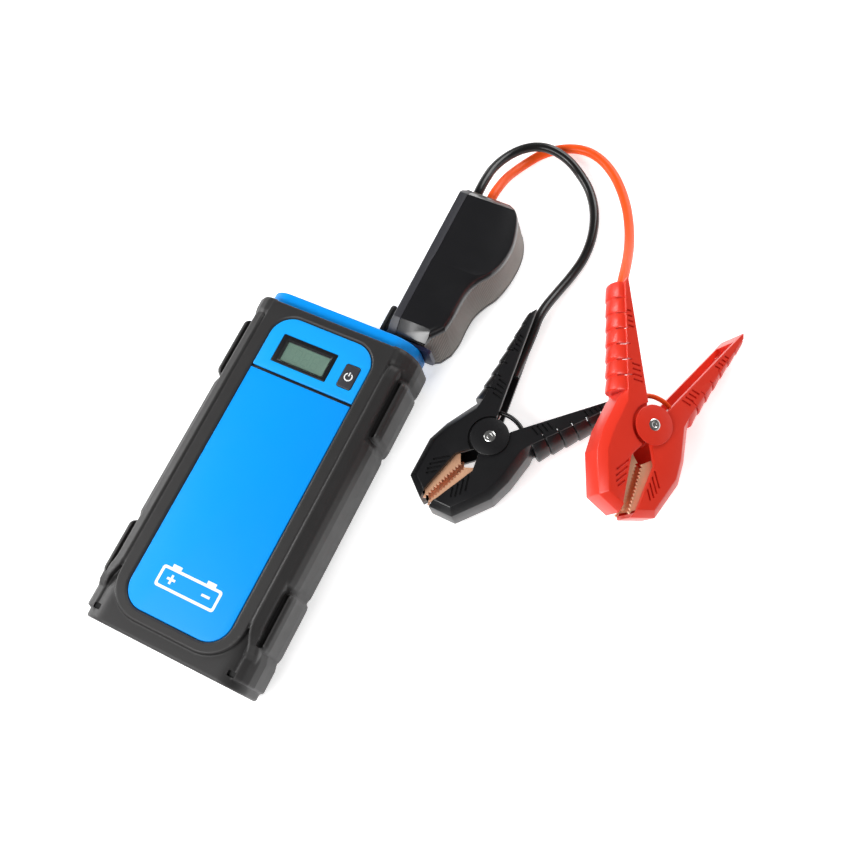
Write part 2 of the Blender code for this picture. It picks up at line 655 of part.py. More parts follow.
def build_ports():
    """Add the output socket, its contacts, the USB sockets and the torch."""
    outer = centred_rectangle((PLUG_X, PORT_HEIGHT), SOCKET_SIZE, 1.6)
    socket = bar("output_socket", [outer], SOCKET_BACK, CASE_END - GAP, NAVY)
    throat = centred_rectangle((PLUG_X, PORT_HEIGHT), (PLUG_SIZE[0] + 0.6, PLUG_SIZE[1] + 0.6), 1.2)
    cut(socket, bar("socket_throat", [throat], PLUG_TIP - 1.2, 120, NAVY))
    for name, side in (("positive", 1), ("negative", -1)):
        centre = (PLUG_X + side * CONTACT_PITCH / 2, PORT_HEIGHT)
        cut(socket, cylinder(f"contact_hole_{name}", centre, CONTACT_RADIUS + 0.2, 60, 90, "Y", NAVY,
                             sides=16))
        pin = cylinder(f"socket_contact_{name}", centre, CONTACT_RADIUS, 62.0, 91.0, "Y", BRASS, sides=16)
        bevel(pin, 0.5, 1)
    for number, x in enumerate(USB_A_XS, 1):
        shell = centred_rectangle((x, PORT_HEIGHT), (14.4, 6.9), 0.5)
        usb = bar(f"usb_a_socket_{number}", [shell], 80.0, CASE_END, STEEL)
        mouth = centred_rectangle((x, PORT_HEIGHT), (13.2, 5.7), 0.3)
        cut(usb, bar(f"usb_mouth_{number}", [mouth], 82.0, 120, STEEL))
        join(usb, block(f"usb_tongue_{number}", (x - 5.6, 81.0, PORT_HEIGHT + 0.5),
                        (x + 5.6, 93.8, PORT_HEIGHT + 2.3), BLACK))
    shell = centred_rectangle((USB_C_X, PORT_HEIGHT), (8.9, 3.1), 1.5)
    usb_c = bar("usb_c_socket", [shell], 86.0, CASE_END, STEEL)
    mouth = centred_rectangle((USB_C_X, PORT_HEIGHT), (8.1, 2.3), 1.1)
    cut(usb_c, bar("usb_c_mouth", [mouth], 88.0, 120, STEEL))
    join(usb_c, block("usb_c_tongue", (USB_C_X - 3.2, 87.0, PORT_HEIGHT - 0.3),
                      (USB_C_X + 3.2, 93.8, PORT_HEIGHT + 0.3), BLACK))
    lens = cylinder("torch_lens", (TORCH_X, PORT_HEIGHT), 5.1, 91.0, CASE_END + 0.3, "Y", LENS)
    bevel(lens, 0.6, 1)
    led = block("torch_led", (TORCH_X - 2.5, 88.0, PORT_HEIGHT - 2.5), (TORCH_X + 2.5, 90.0, PORT_HEIGHT + 2.5),
                LENS)
    join(led, block("torch_board", (TORCH_X - 5.0, 86.6, PORT_HEIGHT - 5.0),
                    (TORCH_X + 5.0, 88.2, PORT_HEIGHT + 5.0), BOARD))


def build_port_cover():
    """Add the rubber cover of the output socket, open, and its anchor in the case."""
    hinge = add_empty("port_cover_hinge_axis", (COVER_HINGE[0], COVER_HINGE[1], PORT_HEIGHT))
    high = COVER_HIGH - PORT_HEIGHT
    low = COVER_LOW - PORT_HEIGHT
    leaf_outline = rounded_rectangle(0.0, COVER_LENGTH, low, high, 3.5)
    leaf = plate_mesh([leaf_outline], 0.0, 1.8, STAND_SIDE)
    cover = add_piece("port_cover", leaf, RUBBER, hinge)
    bevel(cover, 0.35, 1, 60.0)
    boss_outline = rounded_rectangle(2.6, COVER_LENGTH - 1.8, low + 1.8, high - 1.8, 2.5)
    boss = add_piece("cover_boss", plate_mesh([boss_outline], 1.6, 3.2, STAND_SIDE), RUBBER, hinge)
    join(cover, boss)
    x = COVER_HINGE[0] + 0.9
    block("port_cover_anchor", (x - 0.8, 91.4, PORT_HEIGHT - 5.9), (x + 0.8, CASE_END + 0.5, PORT_HEIGHT + 5.9),
          RUBBER)


# ------------------------------------------------------------------ lead module

def module_outline(inset=0.0):
    """Return the module's outline seen from the front, drawn in by an inset."""
    grip = smooth_path([(x, y, 0) for x, y in GRIP_CURVE], 22)
    corner = 2.2 + 0.4 * inset
    points = [(MODULE_LEFT + inset, MODULE_END - corner), (MODULE_LEFT + inset, MODULE_FOOT + inset)]
    for index, point in enumerate(grip):
        before = grip[max(index - 1, 0)]
        after = grip[min(index + 1, len(grip) - 1)]
        along = (after - before).normalized()
        points.append((point.x - along.y * inset, point.y + along.x * inset))
    points.append((MODULE_LEFT + corner, MODULE_END - inset))
    return points


def module_end_cutters(tag, shrink):
    """Return the wedges that slope the module's two ends, set deeper by shrink."""
    wedges = []
    foot = ((MODULE_FOOT - 5, MODULE_FRONT - 6.0 - shrink), (MODULE_FOOT + 1.6, MODULE_FRONT - 6.0 - shrink),
            (MODULE_FOOT + 8.2, MODULE_FRONT - shrink), (MODULE_FOOT + 8.2, MODULE_FRONT + 5),
            (MODULE_FOOT - 5, MODULE_FRONT + 5))
    end = ((MODULE_END + 5, MODULE_FRONT + 5), (MODULE_END - 4.6, MODULE_FRONT + 5),
           (MODULE_END - 4.6, MODULE_FRONT - MODULE_CREASE_DROP - shrink), (MODULE_END - 0.6, 29.0 - shrink),
           (MODULE_END + 5, 29.0 - shrink))
    crease = ((MODULE_CREASE, MODULE_FRONT + 5), (MODULE_CREASE, MODULE_FRONT - shrink),
              (MODULE_CREASE + 4.0, MODULE_FRONT - MODULE_CREASE_DROP - shrink),
              (MODULE_END + 5, MODULE_FRONT - MODULE_CREASE_DROP - shrink), (MODULE_END + 5, MODULE_FRONT + 5))
    for name, outline in (("foot", foot), ("end", end), ("crease", crease)):
        mesh = plate_mesh([outline], 10.0, 80.0, STAND_SIDE)
        wedges.append(add_piece(f"{name}_wedge_{tag}", mesh, BLACK))
    return wedges


def module_solid(name, inset, low, high, tag, material):
    """Add a solid with the module's outer form, drawn in by an inset."""
    solid = plate(name, [module_outline(inset)], low, high, material)
    cut(solid, *module_end_cutters(tag, inset))
    return solid


def build_module():
    """Add the lead module: front shell, side strip, back shell and what is inside."""
    front = module_solid("module_front_shell", 0.0, MODULE_SPLIT + GAP / 2, MODULE_FRONT, "front", BLACK)
    strip_side = block("strip_side", (0, 80, -5), (MODULE_STRIP_X + GAP / 2, 200, 50), BLACK)
    hollow = module_solid("front_hollow", MODULE_WALL, -5.0, MODULE_FRONT - MODULE_WALL, "front_in", BLACK)
    cut(front, strip_side, hollow)
    strip = module_solid("module_side_strip", 0.0, MODULE_SPLIT + GAP / 2, MODULE_FRONT, "strip", BLACK)
    main_side = block("main_side", (MODULE_STRIP_X - GAP / 2, 80, -5), (90, 200, 50), BLACK)
    strip_hollow = module_solid("strip_hollow", MODULE_WALL, -5.0, MODULE_FRONT - MODULE_WALL, "strip_in", BLACK)
    cut(strip, main_side, strip_hollow)
    rings = []
    for inset, height in ((1.8, MODULE_BACK), (0.6, MODULE_BACK + 1.4), (0.0, MODULE_BACK + 3.2),
                          (0.0, MODULE_SPLIT - GAP / 2)):
        rings.append([(x, y, height) for x, y in module_outline(inset)])
    back = loft("module_back_shell", rings, BLACK)
    cut(back, plate("back_hollow", [module_outline(MODULE_WALL + 0.4)], MODULE_BACK + MODULE_WALL, 20.0, BLACK))
    left, right, low, high = PLUG_TAIL
    collar_hole = rounded_rectangle(left - GAP, right + GAP, low - GAP, high + GAP, 1.2)
    for shell, tag in ((front, "front"), (strip, "strip")):
        cut(shell, bar("module_plug_hole_" + tag, [collar_hole], 90, 105, BLACK))
    for tag, x in (("black", BLACK_ROUTE[0][0]), ("red", RED_ROUTE[0][0])):
        place = (x, BLACK_ROUTE[0][2])
        cut(front, cylinder(f"module_cable_hole_{tag}", place, GROMMET_RADIUS + GAP, 180, 195, "Y", BLACK))
        if tag == "black":
            cut(strip, cylinder("strip_cable_hole", place, GROMMET_RADIUS + GAP, 180, 195, "Y", BLACK))
    board = block("module_board", (30.0, 112.0, 12.0), (48.0, 178.0, 13.6), BOARD)
    join(board, block("module_driver", (34.0, 118.0, 13.0), (42.0, 126.0, 16.0), BLACK))
    block("module_relay", (31.0, 138.0, 13.9), (49.0, 160.0, 29.0), BLACK, radius=0.8)


def build_plug():
    """Add the plug on the module's end and its two contacts."""
    body = centred_rectangle((PLUG_X, PORT_HEIGHT), PLUG_SIZE, 1.0)
    plug = bar("plug_housing", [body], PLUG_TIP, CASE_END + 1.0, NAVY)
    collar = rounded_rectangle(25.4, 48.0, 12.6, 29.4, 2.4)
    join(plug, bar("plug_collar", [collar], CASE_END + GAP, MODULE_FOOT - GAP, NAVY))
    join(plug, bar("plug_tail", [rounded_rectangle(*PLUG_TAIL, 1.0)], CASE_END + 1.5, 104.0, NAVY))
    for name, side in (("positive", 1), ("negative", -1)):
        centre = (PLUG_X + side * CONTACT_PITCH / 2, PORT_HEIGHT)
        cut(plug, cylinder(f"plug_bore_{name}", centre, 3.3, 70, 95.0, "Y", NAVY))
        cut(plug, cylinder(f"tail_bore_{name}", centre, 1.6, 94.0, 110, "Y", NAVY, sides=12))
        sleeve = cylinder(f"plug_contact_{name}", centre, 3.0, 79.4, 94.0, "Y", BRASS)
        join(sleeve, cylinder(f"contact_tail_{name}", centre, 1.3, 93.6, 107.0, "Y", BRASS, sides=12))
        cut(sleeve, cylinder(f"contact_bore_{name}", centre, 2.2, 70, 92.0, "Y", BRASS))


def build_cables():
    """Add both lead cables and the grommets that hold them in the module's end."""
    tube("black_cable", smooth_path(BLACK_ROUTE, CABLE_POINTS), CABLE_DIAMETER, BLACK_CABLE)
    tube("red_cable", smooth_path(RED_ROUTE, CABLE_POINTS), CABLE_DIAMETER, RED_CABLE)
    for tag, route in (("black", BLACK_ROUTE), ("red", RED_ROUTE)):
        x, y, height = route[0]
        cylinder(f"{tag}_cable_grommet", (x, height), GROMMET_RADIUS, MODULE_END - 5.0, y - GAP, "Y", RUBBER)


# ------------------------------------------------------------------ clamps

def mirrored(points, side):
    """Return outline points for the cable half (side 1) or the moving half (side -1)."""
    return [(point[0], point[1] * side) for point in points]


def drawn_in(points, inset):
    """Return the nose outline moved inwards, towards the jaw line."""
    moved = []
    for index, point in enumerate(points):
        before = Vector(points[max(index - 1, 0)])
        after = Vector(points[min(index + 1, len(points) - 1)])
        along = (after - before).normalized()
        moved.append((point[0] + along.y * inset, point[1] - along.x * inset))
    return moved


def body_outline(inset):
    """Return a clamp half's flat outline, with its nose drawn in by an inset."""
    nose = drawn_in(CLAMP_NOSE, inset)
    outer_end = between(HANDLE_BORDER, 1.0)
    inner_start, inner_end = HANDLE_INNER
    return (nose + [tuple(between(HANDLE_BORDER, 0.0) + Vector((-1.0, 3.0))), tuple(outer_end), inner_end,
                    inner_start, (9.4, 5.4), (-9.0, 1.4)] + list(JAW_NOTCH))


def handle_ring(share, side, scale, half_thick):
    """Return the half-round section of the grip at a share of the way along the handle."""
    border = between(HANDLE_BORDER, share)
    outer = between(HANDLE_OUTER, share)
    across = outer - border
    ring = []
    for step in range(5):
        angle = math.radians(-90 + 45 * step)
        place = border + across * (math.cos(angle) * scale)
        ring.append((place.x, place.y * side, math.sin(angle) * half_thick))
    inner = border - across.normalized() * 1.2
    ring.append((inner.x, inner.y * side, half_thick))
    ring.append((inner.x, inner.y * side, -half_thick))
    return ring


def grip(name, side, wall, material, parent):
    """Add the grip's stepped half-round, or with a wall given the hollow inside it."""
    if wall:
        rings = [handle_ring(0.0, side, 0.68, CLAMP_HALF_THICK - wall),
                 handle_ring(0.94, side, 0.68, GRIP_END_HALF_THICK - wall)]
        return loft(name, rings, material, parent)
    rings = []
    for step in range(GRIP_STEPS):
        for place, swell in ((0.0, 1.0), (0.9, 0.93)):
            share = (step + place) / GRIP_STEPS
            thick = CLAMP_HALF_THICK - 0.2 + (GRIP_END_HALF_THICK - CLAMP_HALF_THICK) * share
            rings.append(handle_ring(share, side, swell, thick - 0.5 * place))
    return loft(name, rings, material, parent)


def clamp_half(name, side, material, parent, open_end):
    """Add one hollow half of a clamp: nose, cheeks and grip."""
    thick = CLAMP_HALF_THICK
    levels = ((CLAMP_CHAMFER, -thick), (0.0, CLAMP_CHAMFER - thick), (0.0, thick - CLAMP_CHAMFER),
              (CLAMP_CHAMFER, thick))
    rings = []
    for inset, height in levels:
        rings.append([(x, y, height) for x, y in mirrored(body_outline(inset), side)])
    half = loft(name, rings, material, parent)
    join(half, grip(f"{name}_grip", side, 0.0, material, parent))
    inner = thick - CLAMP_WALL
    reach = 68.0 if open_end else 59.5
    nose = drawn_in(CLAMP_NOSE, CLAMP_WALL)
    far = between(HANDLE_BORDER, 0.94 if not open_end else 1.1)
    hollow_outline = (nose + [tuple(between(HANDLE_BORDER, 0.0) + Vector((0.0, 2.0))), tuple(far),
                              (reach, 24.0), (20.0, -4.0), (-20.0, -8.0), (-60.0, -8.0)])
    hollow = add_piece(f"{name}_hollow", plate_mesh([mirrored(hollow_outline, side)], -inner, inner), material,
                       parent)
    cut(half, hollow, grip(f"{name}_grip_hollow", side, CLAMP_WALL, material, parent))
    return half


def build_cable_half(tag, material, parent):
    """Add the half that holds the cable, with the ears that carry the rivet."""
    half = clamp_half(f"{tag}_cable_half", 1, material, parent, True)
    for end, low, high in (("top", CLAMP_HALF_THICK - CLAMP_WALL, EAR_TOP),
                           ("under", -EAR_TOP, CLAMP_WALL - CLAMP_HALF_THICK)):
        ear = plate(f"{tag}_ear_{end}", [circle((0, 0), EAR_RADIUS)], low, high, material, parent)
        join(half, ear)
    cut(half, cylinder(f"{tag}_ear_hole", (0, 0), RIVET_RADIUS + 0.3, -20, 20, "Z", material, parent, 20))


def build_moving_half(tag, material, parent):
    """Add the half that swings, with the discs that cover the ears."""
    half = clamp_half(f"{tag}_moving_half", -1, material, parent, False)
    cut(half, cylinder(f"{tag}_ear_room", (0, 0), EAR_CLEARANCE, -20, 20, "Z", material, parent))
    inner_sector = arc((0, 0), EAR_CLEARANCE + 0.3, -40, -165, 6)
    web_outline = arc((0, 0), DISC_RADIUS - 0.3, -165, -40, 6) + inner_sector
    for end, sign in (("top", 1), ("under", -1)):
        low, high = sorted((sign * (CLAMP_HALF_THICK + GAP), sign * DISC_TOP))
        disc = plate(f"{tag}_disc_{end}", [circle((0, 0), DISC_RADIUS)], low, high, material, parent)
        low, high = sorted((sign * (CLAMP_HALF_THICK - 1.0), sign * (CLAMP_HALF_THICK + 0.6)))
        web = plate(f"{tag}_web_{end}", [web_outline], low, high, material, parent)
        join(half, web, disc)
    cut(half, cylinder(f"{tag}_disc_hole", (0, 0), RIVET_RADIUS + 0.3, -20, 20, "Z", material, parent, 20))


def jaw_outline(side):
    """Return the flat outline of a jaw's cheek, with teeth along the jaw line."""
    start, stop = JAW_SPAN
    points = []
    pitch = (stop - start) / JAW_TEETH
    for tooth in range(JAW_TEETH + 1):
        x = start + tooth * pitch
        arch = JAW_ARCH * math.sin(math.pi * tooth / JAW_TEETH)
        points.append((x, JAW_TOOTH_GAP + JAW_TOOTH_DEPTH + arch))
        if tooth < JAW_TEETH:
            points.append((x + pitch / 2, JAW_TOOTH_GAP + arch / 2))
    points.append((stop + 3.0, 5.4))
    points.append((stop - 1.0, 8.6))
    points.append((start + 4.0, 6.2))
    points.append((start + 2.4, 2.9))
    return mirrored(points, side)


def build_jaw(name, side, parent):
    """Add a folded copper jaw: two toothed cheeks joined by a back."""
    outline = jaw_outline(side)
    jaw = plate(name, [outline], -JAW_HALF_WIDTH, JAW_HALF_WIDTH, COPPER, parent)
    inner = JAW_HALF_WIDTH - JAW_SHEET
    start, stop = JAW_SPAN
    hollow = mirrored([(start - 5, -2.0), (stop + 6, -2.0), (stop + 6, 5.0), (stop - 0.4, 7.3),
                       (start - 5, 4.4)], side)
    cut(jaw, plate(f"{name}_hollow", [hollow], -inner, inner, COPPER, parent))


def build_rivet(tag, parent):
    """Add the tubular rivet that both halves turn on."""
    rivet = cylinder(f"{tag}_rivet", (0, 0), RIVET_RADIUS, -RIVET_REACH + 0.2, RIVET_REACH - 0.2, "Z", STEEL,
                     parent, 12)
    for end, sign in (("top", 1), ("under", -1)):
        low, high = sorted((sign * (DISC_TOP + 0.1), sign * RIVET_REACH))
        head = cylinder(f"{tag}_rivet_head_{end}", (0, 0), RIVET_HEAD_RADIUS, low, high, "Z", STEEL, parent, 12)
        join(rivet, head)
    cut(rivet, cylinder(f"{tag}_rivet_bore", (0, 0), 1.2, RIVET_REACH - 2.5, 20, "Z", STEEL, parent, 8))


def build_spring(tag, parent):
    """Add the torsion spring between the ears, its legs lying in the two handles."""
    turns = SPRING_TURN / 360.0
    count = 48
    rise = SPRING_WIRE + 0.5
    path = [(14.6, 9.6, -rise * turns / 2), (8.0, 7.4, -rise * turns / 2)]
    for index in range(count + 1):
        share = index / count
        angle = math.radians(118.0 - SPRING_TURN * share)
        path.append((SPRING_RADIUS * math.cos(angle), SPRING_RADIUS * math.sin(angle),
                     rise * turns * (share - 0.5)))
    path.extend([(8.0, -7.4, rise * turns / 2), (14.6, -9.6, rise * turns / 2)])
    tube(f"{tag}_spring", path, SPRING_WIRE, STEEL, parent, 1)


def build_jumper(tag, material, parent):
    """Add the short wire that joins the two copper jaws across the pivot."""
    route = ((4.0, 14.8, 4.6), (9.0, 12.6, 4.6), (13.0, 8.2, 4.6), (15.6, 1.6, 4.6), (15.2, -5.6, 4.6),
             (11.6, -11.0, 4.6), (5.0, -14.6, 4.6))
    tube(f"{tag}_jumper_wire", smooth_path(route, 14), JUMPER_DIAMETER, material, parent, 1)


def build_clamp(tag, pivot, rotation, material, wire):
    """Add one clamp: two halves, two jaws, rivet, spring and jumper wire."""
    frame = add_empty(f"{tag}_clamp_axis", pivot, rotation)
    build_cable_half(tag, material, frame)
    build_moving_half(tag, material, frame)
    build_jaw(f"{tag}_cable_jaw", 1, frame)
    build_jaw(f"{tag}_moving_jaw", -1, frame)
    build_rivet(tag, frame)
    build_spring(tag, frame)
    build_jumper(tag, wire, frame)


def build_clamps():
    """Add the black clamp, flat on the table, and the red clamp, leaning on its handle."""
    flat = Matrix.Rotation(math.radians(BLACK_HEADING), 3, "Z")
    build_clamp("black", BLACK_PIVOT, flat, BLACK, BLACK_CABLE)
    leaning = Matrix.Rotation(math.radians(RED_HEADING), 3, "Z") @ Matrix.Rotation(math.radians(RED_ROLL), 3, "X")
    build_clamp("red", RED_PIVOT, leaning, RED, RED_CABLE)


def main():
    """Build the whole article."""
    build_case()
    build_sleeve()
    build_panels()
    build_display()
    build_button()
    build_battery()
    build_board()
    build_ports()
    build_port_cover()
    build_module()
    build_plug()
    build_cables()
    build_clamps()


main()
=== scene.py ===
"""Looks of a jump starter pack: power pack in a rubber sleeve, lead module, cables and clamps.

Lengths here are millimetres unless a name ends in _m, and MM turns them to metres. The frame is
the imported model's: the origin is the centre of the pack's underside, +Y runs to the port end,
+X to the pack's right side and +Z out of its front panel.
"""

from __future__ import annotations

import json
import logging
import math
from dataclasses import dataclass
from enum import Enum
from typing import Iterable, Sequence

import bmesh
import bpy
from mathutils import Matrix, Vector

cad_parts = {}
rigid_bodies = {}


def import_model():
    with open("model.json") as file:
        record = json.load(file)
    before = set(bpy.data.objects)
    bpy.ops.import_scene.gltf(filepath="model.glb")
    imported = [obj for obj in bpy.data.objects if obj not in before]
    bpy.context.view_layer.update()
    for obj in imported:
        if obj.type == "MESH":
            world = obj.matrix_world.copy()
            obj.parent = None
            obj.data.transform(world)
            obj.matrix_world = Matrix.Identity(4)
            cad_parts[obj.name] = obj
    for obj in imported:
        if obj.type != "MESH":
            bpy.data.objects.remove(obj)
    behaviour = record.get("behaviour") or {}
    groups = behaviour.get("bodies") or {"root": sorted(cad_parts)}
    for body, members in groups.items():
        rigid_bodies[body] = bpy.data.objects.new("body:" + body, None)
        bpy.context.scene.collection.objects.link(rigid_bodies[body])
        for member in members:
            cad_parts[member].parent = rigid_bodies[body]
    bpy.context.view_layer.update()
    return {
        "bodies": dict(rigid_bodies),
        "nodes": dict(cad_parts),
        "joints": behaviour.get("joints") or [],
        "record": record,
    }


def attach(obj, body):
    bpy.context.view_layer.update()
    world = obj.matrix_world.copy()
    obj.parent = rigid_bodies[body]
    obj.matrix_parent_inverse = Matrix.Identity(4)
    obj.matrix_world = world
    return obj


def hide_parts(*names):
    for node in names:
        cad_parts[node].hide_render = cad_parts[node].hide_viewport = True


LOG = logging.getLogger("jump_starter")
MM = 0.001
GAP = 0.3
# The output socket's middle in X and Z, which the plug shares, and its contacts' offset from it
SOCKET_X, SOCKET_Z = 31.6, 21.0
CONTACT_OFFSET = 4.0
Point = tuple[float, float]
Place = tuple[float, float, float]
Tree = bpy.types.NodeTree
Socket = bpy.types.NodeSocket
Piece = bpy.types.Object


# ---------------------------------------------------------------------------- outlines

def arc(centre: Point, radius: float, start: float, stop: float, steps: int = 10) -> list[Point]:
    """Return points along an arc.

    Args:
        centre: The arc's centre.
        radius: Its radius.
        start: Where it starts, in degrees.
        stop: Where it stops, in degrees.
        steps: How many chords it has.

    Returns:
        The points, both ends included.
    """
    angles = [math.radians(start + (stop - start) * step / steps) for step in range(steps + 1)]
    return [(centre[0] + radius * math.cos(a), centre[1] + radius * math.sin(a)) for a in angles]


def rounded(left: float, right: float, low: float, high: float, radius: float,
            steps: int = 10) -> list[Point]:
    """Return a rectangle with round corners.

    Args:
        left: Lowest first coordinate.
        right: Highest first coordinate.
        low: Lowest second coordinate.
        high: Highest second coordinate.
        radius: Corner radius.
        steps: Chords in each corner.

    Returns:
        The closed outline, anticlockwise.
    """
    return (arc((right - radius, low + radius), radius, -90, 0, steps)
            + arc((right - radius, high - radius), radius, 0, 90, steps)
            + arc((left + radius, high - radius), radius, 90, 180, steps)
            + arc((left + radius, low + radius), radius, 180, 270, steps))


def centred(centre: Point, size: Point, radius: float, steps: int = 8) -> list[Point]:
    """Return a round-cornered rectangle of a size about a centre."""
    half_x, half_y = size[0] / 2, size[1] / 2
    return rounded(centre[0] - half_x, centre[0] + half_x, centre[1] - half_y, centre[1] + half_y,
                   radius, steps)


def smooth_path(points: Sequence[Sequence[float]], count: int) -> list[Vector]:
    """Return a smooth curve through points.

    Args:
        points: What the curve passes through, in order.
        count: How many points the result has.

    Returns:
        Points along the curve.
    """
    knots = [Vector(point) for point in points]
    knots = [2 * knots[0] - knots[1]] + knots + [2 * knots[-1] - knots[-2]]
    spans = len(points) - 1
    path = []
    for index in range(count):
        place = spans * index / (count - 1)
        span = min(int(place), spans - 1)
        t = place - span
        p0, p1, p2, p3 = knots[span:span + 4]
        path.append(0.5 * (2 * p1 + (p2 - p0) * t + (2 * p0 - 5 * p1 + 4 * p2 - p3) * t ** 2
                           + (3 * p1 - p0 - 3 * p2 + p3) * t ** 3))
    return path


def stood_along_y(x: float, z: float) -> Matrix:
    """Return the turn that lays a body turned about Z along Y, at a place in X and Z."""
    return Matrix.Translation((x, 0, z)) @ Matrix.Rotation(math.radians(-90), 4, "X")


# ---------------------------------------------------------------------------- solids

def add_object(name: str, data: bpy.types.ID) -> Piece:
    """Put an object with some data into the scene."""
    made = bpy.data.objects.new(name, data)
    bpy.context.scene.collection.objects.link(made)
    return made


class Plane(Enum):
    """The plane that an outline is drawn in, with the turn that stands it there."""

    TOP = Matrix.Identity(4)
    FACE = Matrix(((1, 0, 0, 0), (0, 0, -1, 0), (0, 1, 0, 0), (0, 0, 0, 1)))
    SIDE = Matrix(((0, 0, 1, 0), (1, 0, 0, 0), (0, 1, 0, 0), (0, 0, 0, 1)))


class Solid:
    """A closed body being shaped, in millimetres until it is finished as a piece."""

    def __init__(self, mesh: bpy.types.Mesh) -> None:
        """Put a mesh in the scene as the body."""
        self.obj = add_object("work", mesh)

    @classmethod
    def loft(cls, rings: Sequence[Sequence[Sequence[float]]]) -> Solid:
        """Make the body that runs through rings of equal point count.

        Args:
            rings: The rings, each a closed run of points.

        Returns:
            The body, closed at both ends.
        """
        work = bmesh.new()
        rows = [[work.verts.new(point) for point in ring] for ring in rings]
        count = len(rows[0])
        for lower, upper in zip(rows, rows[1:]):
            for index in range(count):
                after = (index + 1) % count
                work.faces.new((lower[index], lower[after], upper[after], upper[index]))
        work.faces.new(rows[0])
        work.faces.new(rows[-1])
        bmesh.ops.recalc_face_normals(work, faces=work.faces)
        mesh = bpy.data.meshes.new("work")
        work.to_mesh(mesh)
        work.free()
        return cls(mesh)

    @classmethod
    def prism(cls, outline: Sequence[Point], low: float, high: float,
              plane: Plane = Plane.TOP) -> Solid:
        """Make a straight-sided body from an outline.

        Args:
            outline: The closed outline.
            low: Where it starts along the plane's normal.
            high: Where it stops.
            plane: TOP runs along Z, FACE along Y and SIDE along X.

        Returns:
            The body.
        """
        if plane is Plane.FACE:
            low, high = -high, -low
        body = cls.loft([[(x, y, level) for x, y in outline] for level in (low, high)])
        return body.move(plane.value)

    @classmethod
    def slab(cls, centre: Point, size: Point, radius: float, low: float, high: float,
             plane: Plane = Plane.TOP) -> Solid:
        """Make a round-cornered block along the plane's normal."""
        return cls.prism(centred(centre, size, radius), low, high, plane)

    @classmethod
    def round_bar(cls, centre: Point, radius: float, low: float, high: float,
                  plane: Plane = Plane.TOP, sides: int = 48) -> Solid:
        """Make a round bar along the plane's normal."""
        return cls.prism(arc(centre, radius, 0, 360 - 360 / sides, sides - 1), low, high, plane)

    @classmethod
    def box(cls, low: Sequence[float], high: Sequence[float]) -> Solid:
        """Make a box between two corners."""
        outline = [(low[0], low[1]), (high[0], low[1]), (high[0], high[1]), (low[0], high[1])]
        return cls.prism(outline, low[2], high[2])

    @classmethod
    def turned(cls, profile: Sequence[Point], sides: int = 48) -> Solid:
        """Make a body turned about Z from a profile of radius and height, its ends on the axis."""
        rings = []
        for radius, height in profile:
            ring = arc((0, 0), max(radius, 0.01), 0, 360 - 360 / sides, sides - 1)
            rings.append([(x, y, height) for x, y in ring])
        return cls.loft(rings)

    @classmethod
    def tube(cls, path: Sequence[Vector], radius: float, sides: int = 12,
             flatten: float = 1.0) -> Solid:
        """Make a round bar along a path.

        Args:
            path: Points along its middle.
            radius: Its radius.
            sides: Sides of its section.
            flatten: How much its section is squashed along Z.

        Returns:
            The body.
        """
        rings = []
        across = Vector((0, 0, 1))
        for index, point in enumerate(path):
            along = (path[min(index + 1, len(path) - 1)] - path[max(index - 1, 0)]).normalized()
            side = along.cross(across).normalized()
            across = side.cross(along).normalized()
            ring = []
            for step in range(sides):
                angle = 2 * math.pi * step / sides
                ring.append(point + side * (radius * math.cos(angle))
                            + across * (radius * flatten * math.sin(angle)))
            rings.append(ring)
        return cls.loft(rings)

    def bake(self) -> Solid:
        """Turn the body's modifiers into plain mesh."""
        graph = bpy.context.evaluated_depsgraph_get()
        graph.update()
        mesh = bpy.data.meshes.new_from_object(self.obj.evaluated_get(graph))
        self.obj.modifiers.clear()
        self.obj.data = mesh
        return self

    def move(self, matrix: Matrix) -> Solid:
        """Move or turn the body, in millimetres."""
        self.obj.data.transform(matrix)
        return self

    def combine(self, tools: Iterable[Solid], operation: str) -> Solid:
        """Join tools to the body or cut them out of it, and use them up.

        Args:
            tools: The other bodies.
            operation: UNION or DIFFERENCE.

        Returns:
            The body.
        """
        tools = list(tools)
        for tool in tools:
            step = self.obj.modifiers.new("combine", "BOOLEAN")
            step.operation = operation
            step.solver = "EXACT"
            step.object = tool.obj
        self.bake()
        for tool in tools:
            bpy.data.objects.remove(tool.obj, do_unlink=True)
        return self

    def cut(self, *tools: Solid) -> Solid:
        """Cut tools out of the body."""
        return self.combine(tools, "DIFFERENCE")

    def join(self, *tools: Solid) -> Solid:
        """Join tools to the body."""
        return self.combine(tools, "UNION")

    def gather(self, *others: Solid) -> Solid:
        """Put other bodies into this one as they are, overlapping, ready to be melted together."""
        work = bmesh.new()
        for body in (self, *others):
            work.from_mesh(body.obj.data)
        work.to_mesh(self.obj.data)
        work.free()
        for body in others:
            bpy.data.objects.remove(body.obj, do_unlink=True)
        return self

    def soften(self, width: float, segments: int = 3, angle: float = 40) -> Solid:
        """Round the body's edges.

        Args:
            width: The rounding's width.
            segments: How many strips it has.
            angle: The least angle of an edge that is rounded, in degrees.

        Returns:
            The body.
        """
        step = self.obj.modifiers.new("soften", "BEVEL")
        step.width = width
        step.segments = segments
        step.limit_method = "ANGLE"
        step.angle_limit = math.radians(angle)
        step.miter_outer = "MITER_ARC"
        return self.bake()

    def melt(self, voxel: float, passes: int) -> Solid:
        """Run the body's surface together as one soft moulding.

        Args:
            voxel: The grid that the surface is rebuilt on.
            passes: How often it is smoothed.

        Returns:
            The body.
        """
        step = self.obj.modifiers.new("melt", "REMESH")
        step.mode = "VOXEL"
        step.voxel_size = voxel
        easing = self.obj.modifiers.new("ease", "SMOOTH")
        easing.factor = 0.5
        easing.iterations = passes
        return self.bake()

